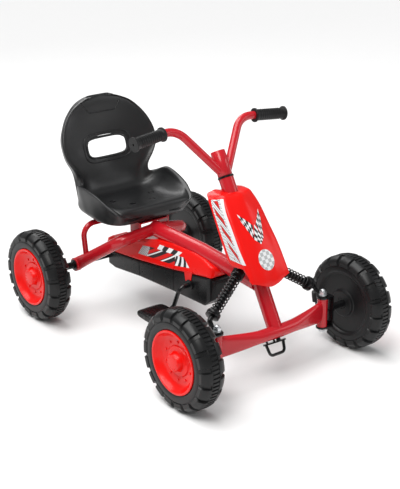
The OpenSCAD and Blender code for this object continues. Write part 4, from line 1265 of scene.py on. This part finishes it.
def add_pedal(name, side, middle, axis):
    """One block pedal with a ribbed tread on both faces."""
    low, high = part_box("pedal_" + name)
    half = (high - low) / 2
    spin = crank_pin(side, axis)
    centre = Vector((middle.x, spin.y, spin.z))
    rows = []
    for k in range(33):
        x = -1 + 2 * k / 32
        ease = math.sqrt(max(0.0, 1 - abs(x) ** 8))
        ring = []
        for j in range(48):
            a = 2 * math.pi * j / 48
            c, s = math.cos(a), math.sin(a)
            y = math.copysign(abs(c) ** 0.55, c) * (half.y - 0.0005) * (0.75 + 0.25 * ease)
            top = 0.0088 + 0.0022 * math.cos(math.pi * y / (2 * half.y))
            z = math.copysign(abs(s) ** 0.5, s) * top * (0.6 + 0.4 * ease)
            ring.append(Vector((x * (half.x - 0.0005), y, z)))
        rows.append(ring)
    points = [p for ring in rows for p in ring]
    last = 32 * 48
    faces = ring_faces(33, 48) + [tuple(range(48)), tuple(last + k for k in range(47, -1, -1))]
    place = Matrix.Translation(centre) @ Matrix.Rotation(math.radians(2), 4, "X")
    bore = moved(turned([(0, -60), (6.2, -60), (6.2, 60), (0, 60)], 32), Matrix.Rotation(math.pi / 2, 4, "Y"))
    cuts = [bore]
    for k in range(-3, 4):
        for up in (-1, 1):
            x = k * 11.0
            cuts.append(plate(rectangle(x - 1.1, x + 1.1, -26, 26, up * 9.6), (0, 0, up * 4)))
    block = carved(new_mesh("block", (points, faces)), *cuts)
    block.transform(place)
    block.materials.clear()
    place_piece("pedal_block_" + name, block, "pedal_" + name, "black_plastic", ["pedal_" + name], 40)


# Slot of each frame node that is shown as it is; the rest are black plastic
HARDWARE = {
    "zinc": [
        "kingpin_bolt_right", "kingpin_bolt_left", "stem_bolt", "front_axle_nut_right", "front_axle_nut_left",
        "rear_axle_nuts", "axle_sprocket", "crank_sprocket", "drive_chain"],
    "black_paint": ["knuckle_right", "knuckle_left", "seat_bolts"],
    "red_paint": ["seat_bracket", "shock_bracket"],
}


class KART_OT_hardware(bpy.types.Operator):
    """Gives the remaining small parts their finish"""

    bl_idname = "kart.hardware"
    bl_label = "Hardware finish"

    def execute(self, context):
        """Sets materials on the frame parts that are shown as they are."""
        for name, node in frame["nodes"].items():
            if node.hide_render:
                continue
            slot = next((key for key, names in HARDWARE.items() if name in names), "black_plastic")
            node.data.materials.clear()
            node.data.materials.append(finish(slot))
        return {"FINISHED"}


# Camera: azimuth, elevation and roll in degrees, aim point and distance in metres, lens in millimetres
CAMERA_ANGLES = (-38.22, 20.84, 0.24)
CAMERA_TARGET, CAMERA_REACH, CAMERA_LENS = (-0.0088, -0.0609, 0.2782), 3.1976, 87.06
LAMPS = (
    ("key", (-1.5, -1.2, 2.6), 34, 1.2, (1.0, 0.99, 0.97)),
    ("fill", (2.6, -2.0, 1.8), 12, 1.4, (0.97, 0.98, 1.0)),
    ("rim", (0.6, 2.4, 2.2), 22, 1.4, (1.0, 1.0, 1.0)),
)


class KART_OT_stage(bpy.types.Operator):
    """Sets the pale floor, the soft light and the camera"""

    bl_idname = "kart.stage"
    bl_label = "Stage"

    def execute(self, context):
        """Adds the floor, lamps, world and camera."""
        scene = context.scene
        shade = make_material(
            "Pale floor", tuple(settings().floor_colour), 0.6, scatter=0.005, grain=60, relief=0.0)
        size = 14.0
        floor = bpy.data.objects.new("floor", new_mesh("floor", (
            [Vector(corner) for corner in rectangle(-size, size, -size, size, 0)],
            [(0, 1, 2, 3)])))
        floor.data.materials.append(shade)
        scene.collection.objects.link(floor)
        for name, place, power, width, tint in LAMPS:
            lamp = bpy.data.lights.new(name, "AREA")
            lamp.energy, lamp.size, lamp.color = power, width, tint
            holder = bpy.data.objects.new(name, lamp)
            holder.location = place
            aim = Vector((0, -0.05, 0.25)) - Vector(place)
            holder.rotation_euler = aim.to_track_quat("-Z", "Y").to_euler()
            scene.collection.objects.link(holder)
        overhead = bpy.data.lights.new("overhead", "SUN")
        overhead.energy, overhead.angle = 2.7, math.radians(50)
        holder = bpy.data.objects.new("overhead", overhead)
        holder.rotation_euler = (math.radians(-12), math.radians(-16), 0)
        scene.collection.objects.link(holder)
        world = bpy.data.worlds.new("soft white")
        world.use_nodes = True
        world.node_tree.nodes["Background"].inputs["Color"].default_value = (1.0, 1.0, 1.0, 1)
        world.node_tree.nodes["Background"].inputs["Strength"].default_value = 0.32
        scene.world = world
        scene.view_settings.view_transform = "Standard"
        turn, rise, roll = (math.radians(a) for a in CAMERA_ANGLES)
        back = Vector((math.sin(turn) * math.cos(rise), -math.cos(turn) * math.cos(rise), math.sin(rise)))
        right = Vector((0, 0, 1)).cross(back).normalized()
        up = back.cross(right)
        tilted = right * math.cos(roll) - up * math.sin(roll)
        upright = right * math.sin(roll) + up * math.cos(roll)
        target = Vector(CAMERA_TARGET)
        camera = bpy.data.cameras.new("camera")
        camera.lens, camera.sensor_width = CAMERA_LENS, 36.0
        camera.clip_end = 60.0
        holder = bpy.data.objects.new("camera", camera)
        stand = Matrix((tilted, upright, back)).transposed().to_4x4()
        holder.matrix_world = Matrix.Translation(target + back * CAMERA_REACH) @ stand
        scene.collection.objects.link(holder)
        scene.camera = holder
        return {"FINISHED"}


STEPS = (
    KART_OT_frame_tubes, KART_OT_wheels, KART_OT_seat, KART_OT_fairing, KART_OT_chain_case, KART_OT_shocks,
    KART_OT_steering, KART_OT_drive, KART_OT_hardware, KART_OT_stage,
)


class KART_PT_panel(bpy.types.Panel):
    """Kart settings and the steps that build it"""

    bl_idname = "KART_PT_panel"
    bl_label = "Pedal go kart"
    bl_space_type = "VIEW_3D"
    bl_region_type = "UI"
    bl_category = "Kart"

    def draw(self, context):
        """Lists the settings and one button per step."""
        for key in KartSettings.__annotations__:
            self.layout.prop(context.scene.kart_settings, key)
        for step in STEPS:
            self.layout.operator(step.bl_idname)


CLASSES = (KartSettings, *STEPS, KART_PT_panel)


def register():
    """Registers the add-on's classes and settings."""
    for cls in CLASSES:
        bpy.utils.register_class(cls)
    bpy.types.Scene.kart_settings = PointerProperty(type=KartSettings)


def unregister():
    """Removes the add-on's classes and settings."""
    del bpy.types.Scene.kart_settings
    for cls in reversed(CLASSES):
        bpy.utils.unregister_class(cls)


def main():
    """Builds every piece in order and writes the sizes of the frame and of the visible model."""
    register()
    for step in STEPS:
        group, name = step.bl_idname.split(".")
        getattr(getattr(bpy.ops, group), name)()


if __name__ == "__main__":
    main()
